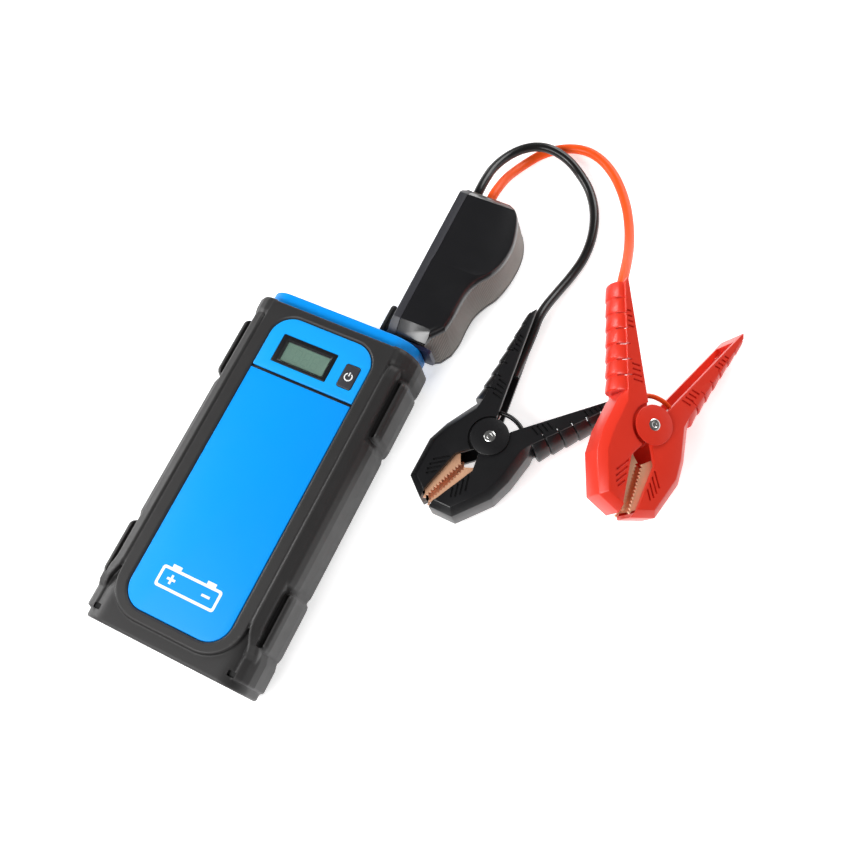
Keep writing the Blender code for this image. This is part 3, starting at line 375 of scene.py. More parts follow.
    def finish(self, name: str, finish: Finish, body: str, slot: str, *nodes: str,
               crease: float = 35) -> Piece:
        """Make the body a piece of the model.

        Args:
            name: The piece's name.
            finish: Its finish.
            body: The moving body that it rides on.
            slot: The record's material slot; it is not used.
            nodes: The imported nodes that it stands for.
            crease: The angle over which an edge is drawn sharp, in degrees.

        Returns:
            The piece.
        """
        self.obj.data.transform(Matrix.Scale(MM, 4))
        self.obj.name = name
        self.obj.data.name = name
        self.obj.data.materials.clear()
        self.obj.data.materials.append(finish.material())
        self.obj.data.shade_smooth()
        self.obj.data.set_sharp_from_angle(angle=math.radians(crease))
        return enter(self.obj, body, slot, *nodes)


def enter(piece: Piece, body: str, slot: str, *nodes: str) -> Piece:
    """Attach a piece to the body that it rides on and hide the imported nodes that it stands for."""
    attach(piece, body)
    if nodes:
        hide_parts(*nodes)
    LOG.info("%s rides on %s and stands for %s", piece.name, body, nodes or "itself")
    return piece


# ---------------------------------------------------------------------------- finishes

def linear(colour: str) -> tuple[float, float, float, float]:
    """Turn an sRGB hex colour to linear red, green, blue and alpha."""
    channels = []
    for start in (1, 3, 5):
        value = int(colour[start:start + 2], 16) / 255
        channels.append(value / 12.92 if value <= 0.04045 else ((value + 0.055) / 1.055) ** 2.4)
    return (*channels, 1.0)


def add_node(tree: Tree, kind: str, inputs: dict | None = None,
             **settings: object) -> bpy.types.Node:
    """Add a shader node with its settings and links.

    Args:
        tree: The material's node tree.
        kind: The node's type.
        inputs: For each input, by name or number, its value or the socket linked to it.
        settings: The node's own properties.

    Returns:
        The node.
    """
    node = tree.nodes.new(kind)
    for key, value in settings.items():
        setattr(node, key, value)
    for key, value in (inputs or {}).items():
        if isinstance(value, Socket):
            tree.links.new(value, node.inputs[key])
        else:
            node.inputs[key].default_value = value
    return node


@dataclass(frozen=True)
class Finish:
    """What a surface is made of and how it was made."""

    name: str
    colour: str
    roughness: float
    ior: float = 1.5
    metallic: float = 0.0
    grain_mm: float = 0.5
    grain_depth_mm: float = 0.01
    tone: float = 0.08
    tone_mm: float = 14.0

    def material(self) -> bpy.types.Material:
        """Return the finish's material, made once."""
        made = bpy.data.materials.get(self.name)
        return made if made else self.build()

    def build(self) -> bpy.types.Material:
        """Build the material.

        Returns:
            A material with the shader, its tone, gloss and texture.
        """
        material = bpy.data.materials.new(self.name)
        material.use_nodes = True
        tree = material.node_tree
        tree.nodes.clear()
        place = add_node(tree, "ShaderNodeTexCoord").outputs["Object"]
        shader = add_node(tree, "ShaderNodeBsdfPrincipled", {
            "Metallic": self.metallic, "IOR": self.ior,
            "Base Color": self.tinted(tree, place), "Roughness": self.gloss(tree, place),
            "Normal": self.texture(tree, place)})
        self.dress(tree, shader)
        add_node(tree, "ShaderNodeOutputMaterial", {"Surface": shader.outputs["BSDF"]})
        return material

    def tinted(self, tree: Tree, place: Socket) -> Socket:
        """Return the colour, with a faint drift in tone over tone_mm."""
        drift = add_node(tree, "ShaderNodeTexNoise", {
            "Vector": place, "Scale": 1 / (self.tone_mm * MM), "Detail": 3.0})
        dark = [channel * (1 - self.tone) for channel in linear(self.colour)[:3]]
        light = [min(channel * (1 + self.tone), 1.0) for channel in linear(self.colour)[:3]]
        mixed = add_node(tree, "ShaderNodeMix", {
            0: drift.outputs[0], 6: (*dark, 1.0), 7: (*light, 1.0)}, data_type="RGBA")
        return mixed.outputs[2]

    def gloss(self, tree: Tree, place: Socket) -> Socket:
        """Return the roughness, uneven as on a handled surface."""
        smudge = add_node(tree, "ShaderNodeTexNoise", {
            "Vector": place, "Scale": 1 / (9 * MM), "Detail": 5.0})
        spread = add_node(tree, "ShaderNodeMapRange", {
            "Value": smudge.outputs[0], "To Min": self.roughness * 0.85,
            "To Max": min(self.roughness * 1.15, 1.0)})
        return spread.outputs[0]

    def texture(self, tree: Tree, place: Socket) -> Socket:
        """Return the surface's fine relief, a grain of grain_mm."""
        grain = add_node(tree, "ShaderNodeTexNoise", {
            "Vector": place, "Scale": 1 / (self.grain_mm * MM), "Detail": 2.0})
        bump = add_node(tree, "ShaderNodeBump", {
            "Height": grain.outputs[0], "Distance": self.grain_depth_mm * MM, "Strength": 1.0})
        return bump.outputs[0]

    def dress(self, tree: Tree, shader: bpy.types.Node) -> None:
        """Add what this kind of surface has beyond colour, gloss and relief."""


@dataclass(frozen=True)
class Rubber(Finish):
    """A moulding with a bloom that catches light at grazing angles, and if wanted painted highlights
    on its edges and painted shade in its folds.
    """

    sheen: float = 0.25
    # How strongly highlights are painted on edges and shade in folds
    painted_edge_light_and_fold_shade: float = 0.0

    def tinted(self, tree: Tree, place: Socket) -> Socket:
        """Return the colour, with painted highlights on sharp edges and painted shade in folds."""
        plain = super().tinted(tree, place)
        if not self.painted_edge_light_and_fold_shade:
            return plain
        # Pointiness paints light on sharp edges and shade in folds and hollows
        bend = add_node(tree, "ShaderNodeNewGeometry").outputs["Pointiness"]
        edge_light_and_fold_shade = add_node(tree, "ShaderNodeMapRange", {
            "Value": bend, "From Min": 0.44, "From Max": 0.56, "To Min": 1 - self.painted_edge_light_and_fold_shade,
            "To Max": 1 + self.painted_edge_light_and_fold_shade})
        scaled = add_node(tree, "ShaderNodeVectorMath", {
            0: plain, 1: edge_light_and_fold_shade.outputs[0]}, operation="MULTIPLY")
        return scaled.outputs[0]

    def dress(self, tree: Tree, shader: bpy.types.Node) -> None:
        """Add the bloom."""
        shader.inputs["Sheen Weight"].default_value = self.sheen
        shader.inputs["Sheen Roughness"].default_value = 0.5


@dataclass(frozen=True)
class Lacquer(Finish):
    """A polished moulding, whose clear skin mirrors the lights."""

    coat: float = 0.5

    def dress(self, tree: Tree, shader: bpy.types.Node) -> None:
        """Add the clear skin."""
        shader.inputs["Coat Weight"].default_value = self.coat
        shader.inputs["Coat Roughness"].default_value = 0.12


@dataclass(frozen=True)
class Ribbed(Finish):
    """A grip moulded with fine slanting ribs."""

    rib_mm: float = 1.3

    def tinted(self, tree: Tree, place: Socket) -> Socket:
        """Return the colour, with painted shade between the ribs."""
        ribs = self.ribs(tree, place)
        # The darker colour is painted shade in the grooves between the ribs
        dark = [channel * 0.72 for channel in linear(self.colour)[:3]]
        mixed = add_node(tree, "ShaderNodeMix", {
            0: ribs, 6: (*dark, 1.0), 7: linear(self.colour)}, data_type="RGBA")
        return mixed.outputs[2]

    def texture(self, tree: Tree, place: Socket) -> Socket:
        """Return the ribs' relief."""
        bump = add_node(tree, "ShaderNodeBump", {
            "Height": self.ribs(tree, place), "Distance": self.grain_depth_mm * MM, "Strength": 1.0})
        return bump.outputs[0]

    def ribs(self, tree: Tree, place: Socket) -> Socket:
        """Return the pattern of the ribs, one every rib_mm, sloping along the grip."""
        turned = add_node(tree, "ShaderNodeMapping", {
            "Vector": place, "Rotation": (math.radians(38), 0, 0)})
        wave = add_node(tree, "ShaderNodeTexWave", {
            "Vector": turned.outputs[0], "Scale": math.pi / 10 / (self.rib_mm * MM),
            "Distortion": 0.4}, bands_direction="Y")
        return wave.outputs["Fac"]


@dataclass(frozen=True)
class Glass(Finish):
    """A clear moulding or pane."""

    clear: float = 0.9

    def dress(self, tree: Tree, shader: bpy.types.Node) -> None:
        """Let light through."""
        shader.inputs["Transmission Weight"].default_value = self.clear


@dataclass(frozen=True)
class Board(Finish):
    """A circuit board's solder mask over copper tracks."""

    track_mm: float = 2.4

    def tinted(self, tree: Tree, place: Socket) -> Socket:
        """Return the mask's green, lighter over the tracks."""
        tracks = add_node(tree, "ShaderNodeTexBrick", {
            "Vector": place, "Scale": 1 / (self.track_mm * MM * 4), "Mortar Size": 0.03,
            "Color1": linear(self.colour), "Color2": linear(self.colour),
            "Mortar": linear("#4FA46B")})
        return tracks.outputs[0]


# Moulded ABS with a fine spark-eroded texture: even, satin and strong in colour
BLUE_ABS = Finish("blue_moulded_abs", "#0096F5", 0.42, 1.3, 0, 0.35, 0.004, 0.02, 30)
# The display panel is a smoother pressing of the same ABS, so it looks a shade lighter
LIGHT_BLUE_ABS = Finish("light_blue_moulded_abs", "#16A2F8", 0.34, 1.35, 0, 0.35, 0.003, 0.02, 30)
# Injection-moulded thermoplastic rubber, satin, with painted highlights on its edges and painted shade
# in its folds
SLEEVE_RUBBER = Rubber("moulded_tpe_sleeve", "#262525", 0.5, 1.42, 0, 0.45, 0.012, 0.03,
                       16, 0.05, 0.7)
# The socket cover's softer, blacker rubber
COVER_RUBBER = Rubber("moulded_soft_rubber", "#141414", 0.55, 1.5, 0, 0.5, 0.01, 0.06, 10, 0.1)
# Textured black ABS of the housings and the black clamp: near black, with clear edge lights
BLACK_ABS = Finish("black_textured_abs", "#131315", 0.33, 1.53, 0, 0.4, 0.006, 0.1, 12)
# Polished black ABS of the module's front and the display frame
GLOSS_ABS = Lacquer("black_polished_abs", "#101013", 0.3, 1.53, 0, 0.8, 0.002, 0.08, 18, 0.35)
# Satin charcoal ABS of the module's side strip and shoulders
CHARCOAL_ABS = Finish("charcoal_satin_abs", "#333338", 0.45, 1.53, 0, 0.35, 0.005, 0.06, 12)
# Grip sides of the module: finely ribbed; their warm grey is partly the moulding's own tone and partly
# a painted reflection of the bright table
GRIP_ABS = Ribbed("ribbed_grip_abs", "#7F7871", 0.5, 1.5, 0, 0.4, 0.06, 0.05, 12, 1.3)
# Glass-filled nylon of the plug and its socket, deep navy
NAVY_NYLON = Finish("navy_moulded_nylon", "#14183C", 0.4, 1.53, 0, 0.4, 0.006, 0.05, 12)
# Red ABS of the clamp, satin with a pale bloom where light grazes it
RED_ABS = Rubber("red_moulded_abs", "#E6341F", 0.3, 1.42, 0, 0.4, 0.005, 0.05, 18, 0.1)
# Extruded silicone of the cable and jumper skins
BLACK_SILICONE = Rubber("black_extruded_silicone", "#161616", 0.22, 1.43, 0, 0.8, 0.006, 0.08, 10, 0.1)
RED_SILICONE = Rubber("red_extruded_silicone", "#FF5A1C", 0.36, 1.33, 0, 0.8, 0.006, 0.05, 10, 0.0)
# Copper-plated pressed steel: bright salmon, lightly drawn
COPPER = Finish("copper_plated_steel", "#FFC09A", 0.34, 1.5, 0.4, 0.5, 0.01, 0.1, 3)
# Bright nickel of rivets, springs, screws and socket shells
NICKEL = Finish("nickel_plated_steel", "#D2D2D0", 0.24, 1.5, 1.0, 0.4, 0.006, 0.05, 4)
# Gold-plated turned and stamped brass of the contacts
GOLD = Finish("gold_plated_brass", "#E3BE6C", 0.22, 1.5, 1.0, 0.4, 0.004, 0.05, 4)
# Reflective display film: grey-green with its own soft grain
DISPLAY_FILM = Finish("display_film", "#9FBFB0", 0.3, 1.5, 0, 0.25, 0.002, 0.05, 20)
# Unlit liquid-crystal figures, a shade off the film behind them
DISPLAY_SEGMENT = Finish("unlit_display_segment", "#97B6A7", 0.3, 1.5, 0, 0.25, 0.002, 0.02, 20)
# Clear moulded acrylic over the display
DISPLAY_PANE = Glass("display_pane", "#F4F8F6", 0.05, 1.49, 0, 2.0, 0.001, 0.01, 30, 1.0)
# Clear moulded polycarbonate of the torch
LENS_PANE = Glass("moulded_lens", "#EEF2F5", 0.08, 1.58, 0, 1.0, 0.004, 0.01, 10, 0.85)
# Yellow phosphor layer poured on the torch LED
LED_PHOSPHOR = Finish("led_phosphor", "#E9D36A", 0.5, 1.5, 0, 0.3, 0.01, 0.05, 2)
# White ink, pad-printed
WHITE_INK = Finish("white_pad_print", "#F2F4F5", 0.45, 1.5, 0, 0.3, 0.002, 0.02, 6)
# Etched glass-epoxy board under green solder mask
GREEN_BOARD = Board("solder_mask_board", "#146B3A", 0.35, 1.5, 0, 0.5, 0.01, 0.05, 8, 2.4)
# Aluminium laminate foil, heat-sealed round the cells
CELL_FOIL = Finish("laminated_cell_foil", "#C9CBD0", 0.35, 1.5, 0.8, 1.2, 0.03, 0.06, 9)
# White nylon, injection moulded, of the USB tongues
WHITE_NYLON = Finish("white_moulded_nylon", "#DADCDD", 0.4, 1.53, 0, 0.4, 0.004, 0.03, 6)


# ---------------------------------------------------------------------------- studio

@dataclass
class Studio:
    """White table, soft lights and the camera that looks down on the object."""

    camera_place: Place = (245.9, -94.7, 586.6)
    lens: float = 52.0
    right: Place = (0.8809, 0.4435, -0.1652)
    up: Place = (-0.3655, 0.8592, 0.3579)
    middle: Place = (60.0, 60.0, 20.0)
    table_mm: float = 40000.0
    sink_mm: float = 0.2
    glow: float = 0.62
    horizon: float = 0.85
    zenith: float = 0.12

    def aim(self) -> Piece:
        """Make the camera and set it as the scene's."""
        data = bpy.data.cameras.new("camera")
        data.lens = self.lens
        data.sensor_width = 36.0
        data.clip_start = 0.01
        camera = add_object("camera", data)
        right = Vector(self.right).normalized()
        back = right.cross(Vector(self.up)).normalized()
        up = back.cross(right)
        turn = Matrix((right, up, back)).transposed().to_4x4()
        camera.matrix_world = Matrix.Translation(Vector(self.camera_place) * MM) @ turn
        bpy.context.scene.camera = camera
        return camera

    def light(self, name: str, place: Place, size: float, power: float) -> None:
        """Add a soft square light that faces the object.

        Args:
            name: The light's name.
            place: Where it hangs.
            size: Its side.
            power: Its power in watts.
        """
        data = bpy.data.lights.new(name, "AREA")
        data.shape = "SQUARE"
        data.size = size * MM
        data.energy = power
        lamp = add_object(name, data)
        lamp.location = Vector(place) * MM
        facing = (Vector(self.middle) - Vector(place)).to_track_quat("-Z", "Y")
        lamp.rotation_euler = facing.to_euler()

    def furnish(self) -> None:
        """Add the table, the room's light and the lamps."""
        half = self.table_mm / 2 * MM
        mesh = bpy.data.meshes.new("table")
        corners = [(-half, -half), (half, -half), (half, half), (-half, half)]
        mesh.from_pydata([(x, y, -self.sink_mm * MM) for x, y in corners], [], [(0, 1, 2, 3)])
        table = add_object("table", mesh)
        paper = bpy.data.materials.new("white_paper")
        paper.use_nodes = True
        shader = paper.node_tree.nodes["Principled BSDF"]
        for key, value in {"Base Color": linear("#F4F4F4"), "Roughness": 0.9,
                           "Specular IOR Level": 0.1, "Emission Color": (1.0, 1.0, 1.0, 1.0),
                           "Emission Strength": self.glow}.items():
            shader.inputs[key].default_value = value
        mesh.materials.append(paper)
        self.light_room()
        for name, place, size, power in (
                ("key", (-40, -520, 700), 460, 4.2), ("front", (-190, -330, 560), 260, 1.5),
                ("left", (-640, -60, 300), 360, 3.6), ("behind", (200, 860, 430), 520, 4.6)):
            self.light(name, place, size, power)

    def light_room(self) -> None:
        """Make the room a pale sweep, bright at the horizon and dim overhead."""
        world = bpy.data.worlds.new("room")
        world.use_nodes = True
        tree = world.node_tree
        place = add_node(tree, "ShaderNodeTexCoord").outputs["Generated"]
        height = add_node(tree, "ShaderNodeSeparateXYZ", {0: place}).outputs["Z"]
        glow = add_node(tree, "ShaderNodeMapRange", {
            "Value": height, "From Min": 0.0, "From Max": 0.4, "To Min": self.horizon,
            "To Max": self.zenith})
        tree.links.new(glow.outputs[0], tree.nodes["Background"].inputs["Strength"])
        tree.nodes["Background"].inputs["Color"].default_value = (1, 1, 1, 1)
        bpy.context.scene.world = world
        bpy.context.scene.view_settings.view_transform = "Standard"


# ---------------------------------------------------------------------------- lead cables

@dataclass
class LeadCable:
    """One silicone cable of the lead, from the module's end into a clamp's handle."""

    name: str
    finish: Finish
    slot: str
    route: Sequence[Place]
    diameter: float = 5.2
    points: int = 140

    def build(self) -> Piece:
        path = smooth_path(self.route, self.points)
        curve = bpy.data.curves.new(self.name, "CURVE")
        curve.dimensions = "3D"
        curve.bevel_depth = self.diameter / 2 * MM
        curve.bevel_resolution = 6
        curve.use_fill_caps = True
        spline = curve.splines.new("POLY")
        spline.points.add(len(path) - 1)
        for point, place in zip(spline.points, path):
            point.co = (*(place * MM), 1)
        curve.materials.append(self.finish.material())
        piece = add_object(self.name, curve)
        enter(piece, "lead", self.slot, self.name.replace("_skin", ""))
        return piece


BLACK_ROUTE = (
    (27.4, 190.4, 20.0), (27.0, 196.0, 20.0), (26.6, 204.0, 18.6), (26.4, 213.0, 15.4),
    (28.6, 223.0, 12.2), (33.6, 231.4, 10.4), (40.6, 236.6, 9.6), (49.0, 238.4, 8.6),
    (58.6, 237.2, 6.0), (68.0, 232.6, 3.6), (76.6, 225.6, 2.9), (83.4, 216.6, 2.9),
    (88.0, 206.6, 2.9), (90.6, 196.0, 3.0), (91.2, 185.0, 3.2), (89.8, 173.0, 4.4),
    (87.8, 161.0, 6.8), (86.4, 150.0, 9.8), (86.2, 141.0, 11.8), (87.0, 133.0, 12.0),
    (87.6, 124.0, 12.0), (87.9, 115.0, 12.0), (88.3, 106.5, 12.0),
)
RED_ROUTE = (
    (35.4, 190.4, 20.0), (35.2, 196.0, 19.6), (35.0, 203.0, 17.0), (34.6, 211.0, 12.4),
    (35.2, 219.0, 7.6), (37.6, 227.6, 4.0), (42.4, 236.0, 2.9), (49.6, 242.4, 2.9),
    (58.0, 246.4, 2.9), (67.0, 247.4, 2.9), (76.4, 244.6, 3.0), (85.6, 238.4, 3.6),
    (94.0, 229.6, 5.2), (101.6, 219.0, 8.2), (108.0, 207.4, 12.8), (113.4, 195.4, 19.0),
    (117.8, 183.6, 26.6), (121.2, 172.8, 34.0), (124.0, 163.0, 39.6), (127.0, 153.6, 42.0),
    (130.8, 144.0, 40.8), (134.6, 134.6, 39.0),
)


# ---------------------------------------------------------------------------- power pack

@dataclass
class PowerPack:
    """The case with its ports, panels, display, button and socket cover."""

    width: float = 87.0
    low: float = 4.0
    high: float = 38.0
    split: float = 21.0
    corner: float = 13.0
    wall: float = 2.2
    foot: float = -92.6
    end: float = 95.0
    window_half: float = 29.3
    window_foot: float = -81.9
    window_end: float = 82.6
    window_corner: float = 12.5
    panel_top: float = 42.0
    divider: Point = (50.2, 51.9)
    port_height: float = SOCKET_Z
    socket_x: float = SOCKET_X
    usb_xs: tuple[float, ...] = (-20.0, -2.0)
    usb_size: Point = (14.4, 6.9)
    usb_wall: float = 0.6
    usb_c_x: float = 11.6
    torch_x: float = -34.0
    display_at: Point = (-5.3, 64.7)
    pane_at: Point = (-4.9, 64.3)
    button_at: Point = (20.8, 64.1)

    def section(self, inset: float = 0.0) -> list[Point]:
        """Return the case's section in X and Z, drawn in by an inset."""
        half = self.width / 2 - inset
        return rounded(-half, half, self.low + inset, self.high - inset, self.corner - inset, 14)

    def window(self, inset: float) -> list[Point]:
        """Return the window's outline, drawn in by an inset."""
        return rounded(-self.window_half + inset, self.window_half - inset,
                       self.window_foot + inset, self.window_end - inset,
                       self.window_corner - inset, 14)

    def ports(self) -> list[Solid]:
        """Return the openings in the port end."""
        z, reach = self.port_height, (self.end - self.wall - 1, self.end + 1, Plane.FACE)
        mouths = [((self.socket_x, z), (19.4, 13.6), 2.0)]
        mouths += [((x, z), (15.2, 7.7), 0.8) for x in self.usb_xs]
        mouths += [((self.usb_c_x, z), (9.6, 3.8), 1.6), ((18.5, z), (2.2, 12.4), 0.3)]
        return ([Solid.slab(*mouth, *reach) for mouth in mouths]
                + [Solid.round_bar((self.torch_x, z), 5.4, *reach)])

    def build_case(self) -> None:
        """Make the case's two halves."""
        for name, node, keep_low in (("case_front_shell", "front_case", False),
                                     ("case_back_shell", "back_case", True)):
            shell = Solid.prism(self.section(), self.foot, self.end, Plane.FACE).soften(1.0, 4, 60)
            hollow = Solid.prism(self.section(self.wall), self.foot + self.wall,
                                 self.end - self.wall, Plane.FACE)
            if keep_low:
                other = Solid.box((-60, -120, self.split - 0.15), (60, 120, 60))
            else:
                other = Solid.box((-60, -120, -10), (60, 120, self.split + 0.15))
            shell.cut(hollow, other, *self.ports())
            if not keep_low:
                shell.cut(Solid.box((-19.6, 57.8, 30), (9.0, 71.6, 50)),
                          Solid.round_bar(self.button_at, 3.0, 30, 50))
            shell.finish(name, BLUE_ABS, "pack", "blue_abs", node)

    def panel(self, low: float, high: float) -> list[Point]:
        """Return the window's outline between two places along Y."""
        half = self.window_half - 0.35
        kept = [point for point in self.window(0.35) if low < point[1] < high]
        if low > self.window_foot:
            return [(-half, low), (half, low)] + kept
        quarter = len(kept) // 2
        return kept[:quarter] + [(half, high), (-half, high)] + kept[quarter:]

    def build_panels(self) -> None:
        """Make the front panels, the divider between them and the base panel."""
        under = self.high + GAP
        lower = self.panel(-200, self.divider[0])
        Solid.prism(lower, under, self.panel_top).soften(0.45, 3, 50).finish(
            "lower_front_panel", BLUE_ABS, "pack", "blue_abs", "front_panel")
        upper = Solid.prism(self.panel(self.divider[1], 200), under, self.panel_top)
        upper.soften(0.45, 3, 50)
        upper.cut(Solid.slab(self.display_at, (31.9, 15.9), 0.6, 30, 50),
                  Solid.slab(self.button_at, (8.5, 13.3), 1.5, 30, 50))
        upper.finish("upper_display_panel", LIGHT_BLUE_ABS, "pack", "light_blue_abs",
                     "display_panel")
        Solid.box((-29.0, self.divider[0] + 0.2, under), (29.0, self.divider[1] - 0.2, 41.2)).soften(
            0.25, 2).finish("divider_bar", GLOSS_ABS, "pack", "black_abs", "divider_strip")
        base = Solid.prism(self.window(0.35), 0.0, self.low - GAP).soften(0.5, 3, 50)
        base.finish("base_plate", BLACK_ABS, "pack", "black_abs", "base_panel")

    def build_display(self) -> None:
        """Make the display's frame, pane, film and its unlit figures."""
        outer = Solid.slab(self.display_at, (31.4, 15.4), 0.5, 38.3, 42.2).soften(0.25, 2, 50)
        sill = [(inset, level) for inset, level in ((0.0, 39.6), (0.0, 41.2), (-0.9, 42.4))]
        opening = Solid.loft([[(x, y, level) for x, y in
                               centred(self.pane_at, (25.0 - 2 * inset, 10.8 - 2 * inset), 0.5)]
                              for inset, level in sill + [(-0.9, 45.0)]])
        under = Solid.slab(self.display_at, (26.6, 11.8), 0.5, 30, 39.7)
        outer.cut(opening, under)
        outer.finish("display_frame", GLOSS_ABS, "pack", "black_abs", "display_bezel")
        Solid.slab(self.pane_at, (24.6, 10.4), 0.4, 40.5, 41.1).finish(
            "display_pane", DISPLAY_PANE, "pack", "lcd_glass", "display_glass")
        Solid.slab(self.pane_at, (24.8, 10.6), 0.4, 39.8, 40.2).finish(
            "display_film", DISPLAY_FILM, "pack", "lcd_glass")
        for digit in range(3):
            left = -11.6 + digit * 5.2
            bars = []
            for row in range(3):
                y = 60.8 + row * 3.5
                bars.append(Solid.box((left + 0.5, y - 0.25, 40.15), (left + 3.3, y + 0.25, 40.25)))
            for column in (0.2, 3.6):
                for row in range(2):
                    y = 61.2 + row * 3.5
                    bars.append(Solid.box((left + column - 0.25, y, 40.15),
                                          (left + column + 0.25, y + 2.7, 40.25)))
            figure = bars[0].join(*bars[1:])
            figure.finish(f"display_figure_{digit + 1}", DISPLAY_SEGMENT, "pack", "lcd_glass")

    def build_button(self) -> None:
        """Make the power button and the sign on it."""
        x, y = self.button_at
        cap = Solid.slab((x, y), (8.0, 12.8), 1.3, 39.2, 42.35).soften(0.45, 3, 50)
        cap.join(Solid.round_bar((x, y), 2.0, 37.3, 40.0, sides=24))
        cap.finish("power_button_cap", CHARCOAL_ABS, "button", "black_abs", "power_button")
        ring = arc((x, y - 0.2), 2.0, 122, 418, 32)
        path = [Vector((px, py, 42.35)) for px, py in ring]
        Solid.tube(path, 0.3, 8, 0.25).finish("power_sign_ring", WHITE_INK, "button", "black_abs")
        Solid.box((x - 0.28, y + 0.2, 42.3), (x + 0.28, y + 2.4, 42.42)).finish(
            "power_sign_bar", WHITE_INK, "button", "black_abs")

    def build_sign(self) -> None:
        """Make the printed battery sign near the panel's foot."""
        low, high = self.panel_top - 0.02, self.panel_top + 0.06
        frame = Solid.prism(rounded(-17.0, 17.0, -68.0, -57.0, 1.6, 5), low, high)
        frame.cut(Solid.prism(rounded(-15.6, 15.6, -66.6, -58.4, 0.8, 5), low - 1, high + 1))
        frame.join(*[Solid.box((x, -57.1, low), (x + 5.0, -55.2, high)) for x in (-12.4, 7.4)])
        plus = Solid.box((-12.2, -63.1, low), (-7.6, -61.9, high))
        plus.join(Solid.box((-10.5, -64.8, low - 0.01), (-9.3, -60.2, high - 0.01)))
        minus = Solid.box((7.6, -63.1, low), (12.2, -61.9, high))
        for part, mark in (("outline", frame), ("plus", plus), ("minus", minus)):
            mark.finish(f"battery_sign_{part}", WHITE_INK, "pack", "blue_abs")

    def build_cover(self) -> None:
        """Make the output socket's rubber cover and its anchor."""
        x, y = 17.6, 95.9
        leaf = Solid.prism(rounded(y, y + 18.0, 13.0, 29.0, 3.5), x, x + 1.8, Plane.SIDE)
        leaf.soften(0.5, 3, 50)
        boss = Solid.prism(rounded(y + 2.6, y + 16.2, 14.8, 27.2, 2.5), x + 1.6, x + 3.2, Plane.SIDE)
        rim = Solid.prism(rounded(y + 4.0, y + 14.8, 16.2, 25.8, 1.6), x + 2.2, x + 5, Plane.SIDE)
        leaf.join(boss.soften(0.3, 2, 50)).cut(rim)
        ribs = [Solid.box((x - 0.25, y + 13.6 + step * 1.3, 17.5),
                          (x + 0.4, y + 14.2 + step * 1.3, 24.5)) for step in range(3)]
        leaf.join(*ribs)
        leaf.finish("socket_cover_leaf", COVER_RUBBER, "cover", "grey_tpe", "port_cover")
        Solid.box((17.7, 91.4, 15.1), (19.3, 95.5, 26.9)).soften(0.3, 2).finish(
            "socket_cover_root", COVER_RUBBER, "pack", "grey_tpe", "port_cover_anchor")

    def build_ports(self) -> None:
        """Make the output socket, the USB sockets and the torch."""
        z = self.port_height
        socket = Solid.slab((self.socket_x, z), (18.8, 13.0), 1.6, 66.0, 94.7, Plane.FACE)
        socket.soften(0.3, 2, 60)
        socket.cut(Solid.slab((self.socket_x, z), (16.8, 10.4), 1.2, 77.4, 120, Plane.FACE))
        for name, side in (("positive", 1), ("negative", -1)):
            centre = (self.socket_x + side * CONTACT_OFFSET, z)
            socket.cut(Solid.round_bar(centre, 2.1, 60, 90, Plane.FACE, 32))
            Solid.round_bar(centre, 1.9, 62.0, 91.0, Plane.FACE, 32).soften(0.5, 3, 60).finish(
                f"socket_pin_{name}", GOLD, "pack", "gold_plated_brass", f"socket_contact_{name}")
        socket.finish("output_socket_body", NAVY_NYLON, "pack", "navy_nylon", "output_socket")
        inner = (self.usb_size[0] - 2 * self.usb_wall, self.usb_size[1] - 2 * self.usb_wall)
        for number, x in enumerate(self.usb_xs, 1):
            shell = Solid.slab((x, z), self.usb_size, 0.6, 80.0, 94.9, Plane.FACE)
            shell.cut(Solid.slab((x, z), inner, 0.4, 81.0, 120, Plane.FACE))
            shell.finish(f"usb_shell_{number}", NICKEL, "pack", "steel", f"usb_a_socket_{number}")
            tongue = Solid.box((x - 5.6, 81.2, z + 0.5), (x + 5.6, 93.6, z + 2.3)).soften(0.2, 2)
            tongue.finish(f"usb_tongue_{number}", WHITE_NYLON, "pack", "black_abs")
            for pin in range(4):
                left = x - 4.0 + pin * 2.3
                Solid.box((left, 84.0, z + 0.35), (left + 1.1, 93.0, z + 0.52)).finish(
                    f"usb_pin_{number}_{pin + 1}", GOLD, "pack", "gold_plated_brass")
        shell = Solid.slab((self.usb_c_x, z), (8.9, 3.1), 1.5, 86.0, 94.9, Plane.FACE)
        shell.cut(Solid.slab((self.usb_c_x, z), (8.1, 2.3), 1.1, 87.0, 120, Plane.FACE))
        shell.finish("usb_c_shell", NICKEL, "pack", "steel", "usb_c_socket")
        Solid.box((self.usb_c_x - 3.2, 87.2, z - 0.3), (self.usb_c_x + 3.2, 93.6, z + 0.3)).finish(
            "usb_c_tongue", BLACK_ABS, "pack", "black_abs")
        turn = stood_along_y(self.torch_x, z)
        lens = Solid.turned([(0, 91.2), (4.4, 91.2), (4.9, 91.6), (5.1, 92.2), (5.1, 94.6),
                             (4.8, 95.1), (3.4, 95.4), (1.8, 95.5), (0, 95.52)])
        lens.move(turn).finish("torch_window", LENS_PANE, "pack", "clear_lens", "torch_lens")
        led = Solid.box((self.torch_x - 2.0, 88.4, z - 2.0), (self.torch_x + 2.0, 90.0, z + 2.0))
        led.join(Solid.box((self.torch_x - 5.0, 86.6, z - 5.0), (self.torch_x + 5.0, 88.5, z + 5.0)))
        led.finish("torch_emitter", LED_PHOSPHOR, "pack", "clear_lens", "torch_led")

    def build(self) -> None:
        """Make everything of the pack that isn't the sleeve."""
        self.build_case()
        self.build_panels()
        self.build_display()
        self.build_button()
        self.build_sign()
        self.build_cover()
        self.build_ports()


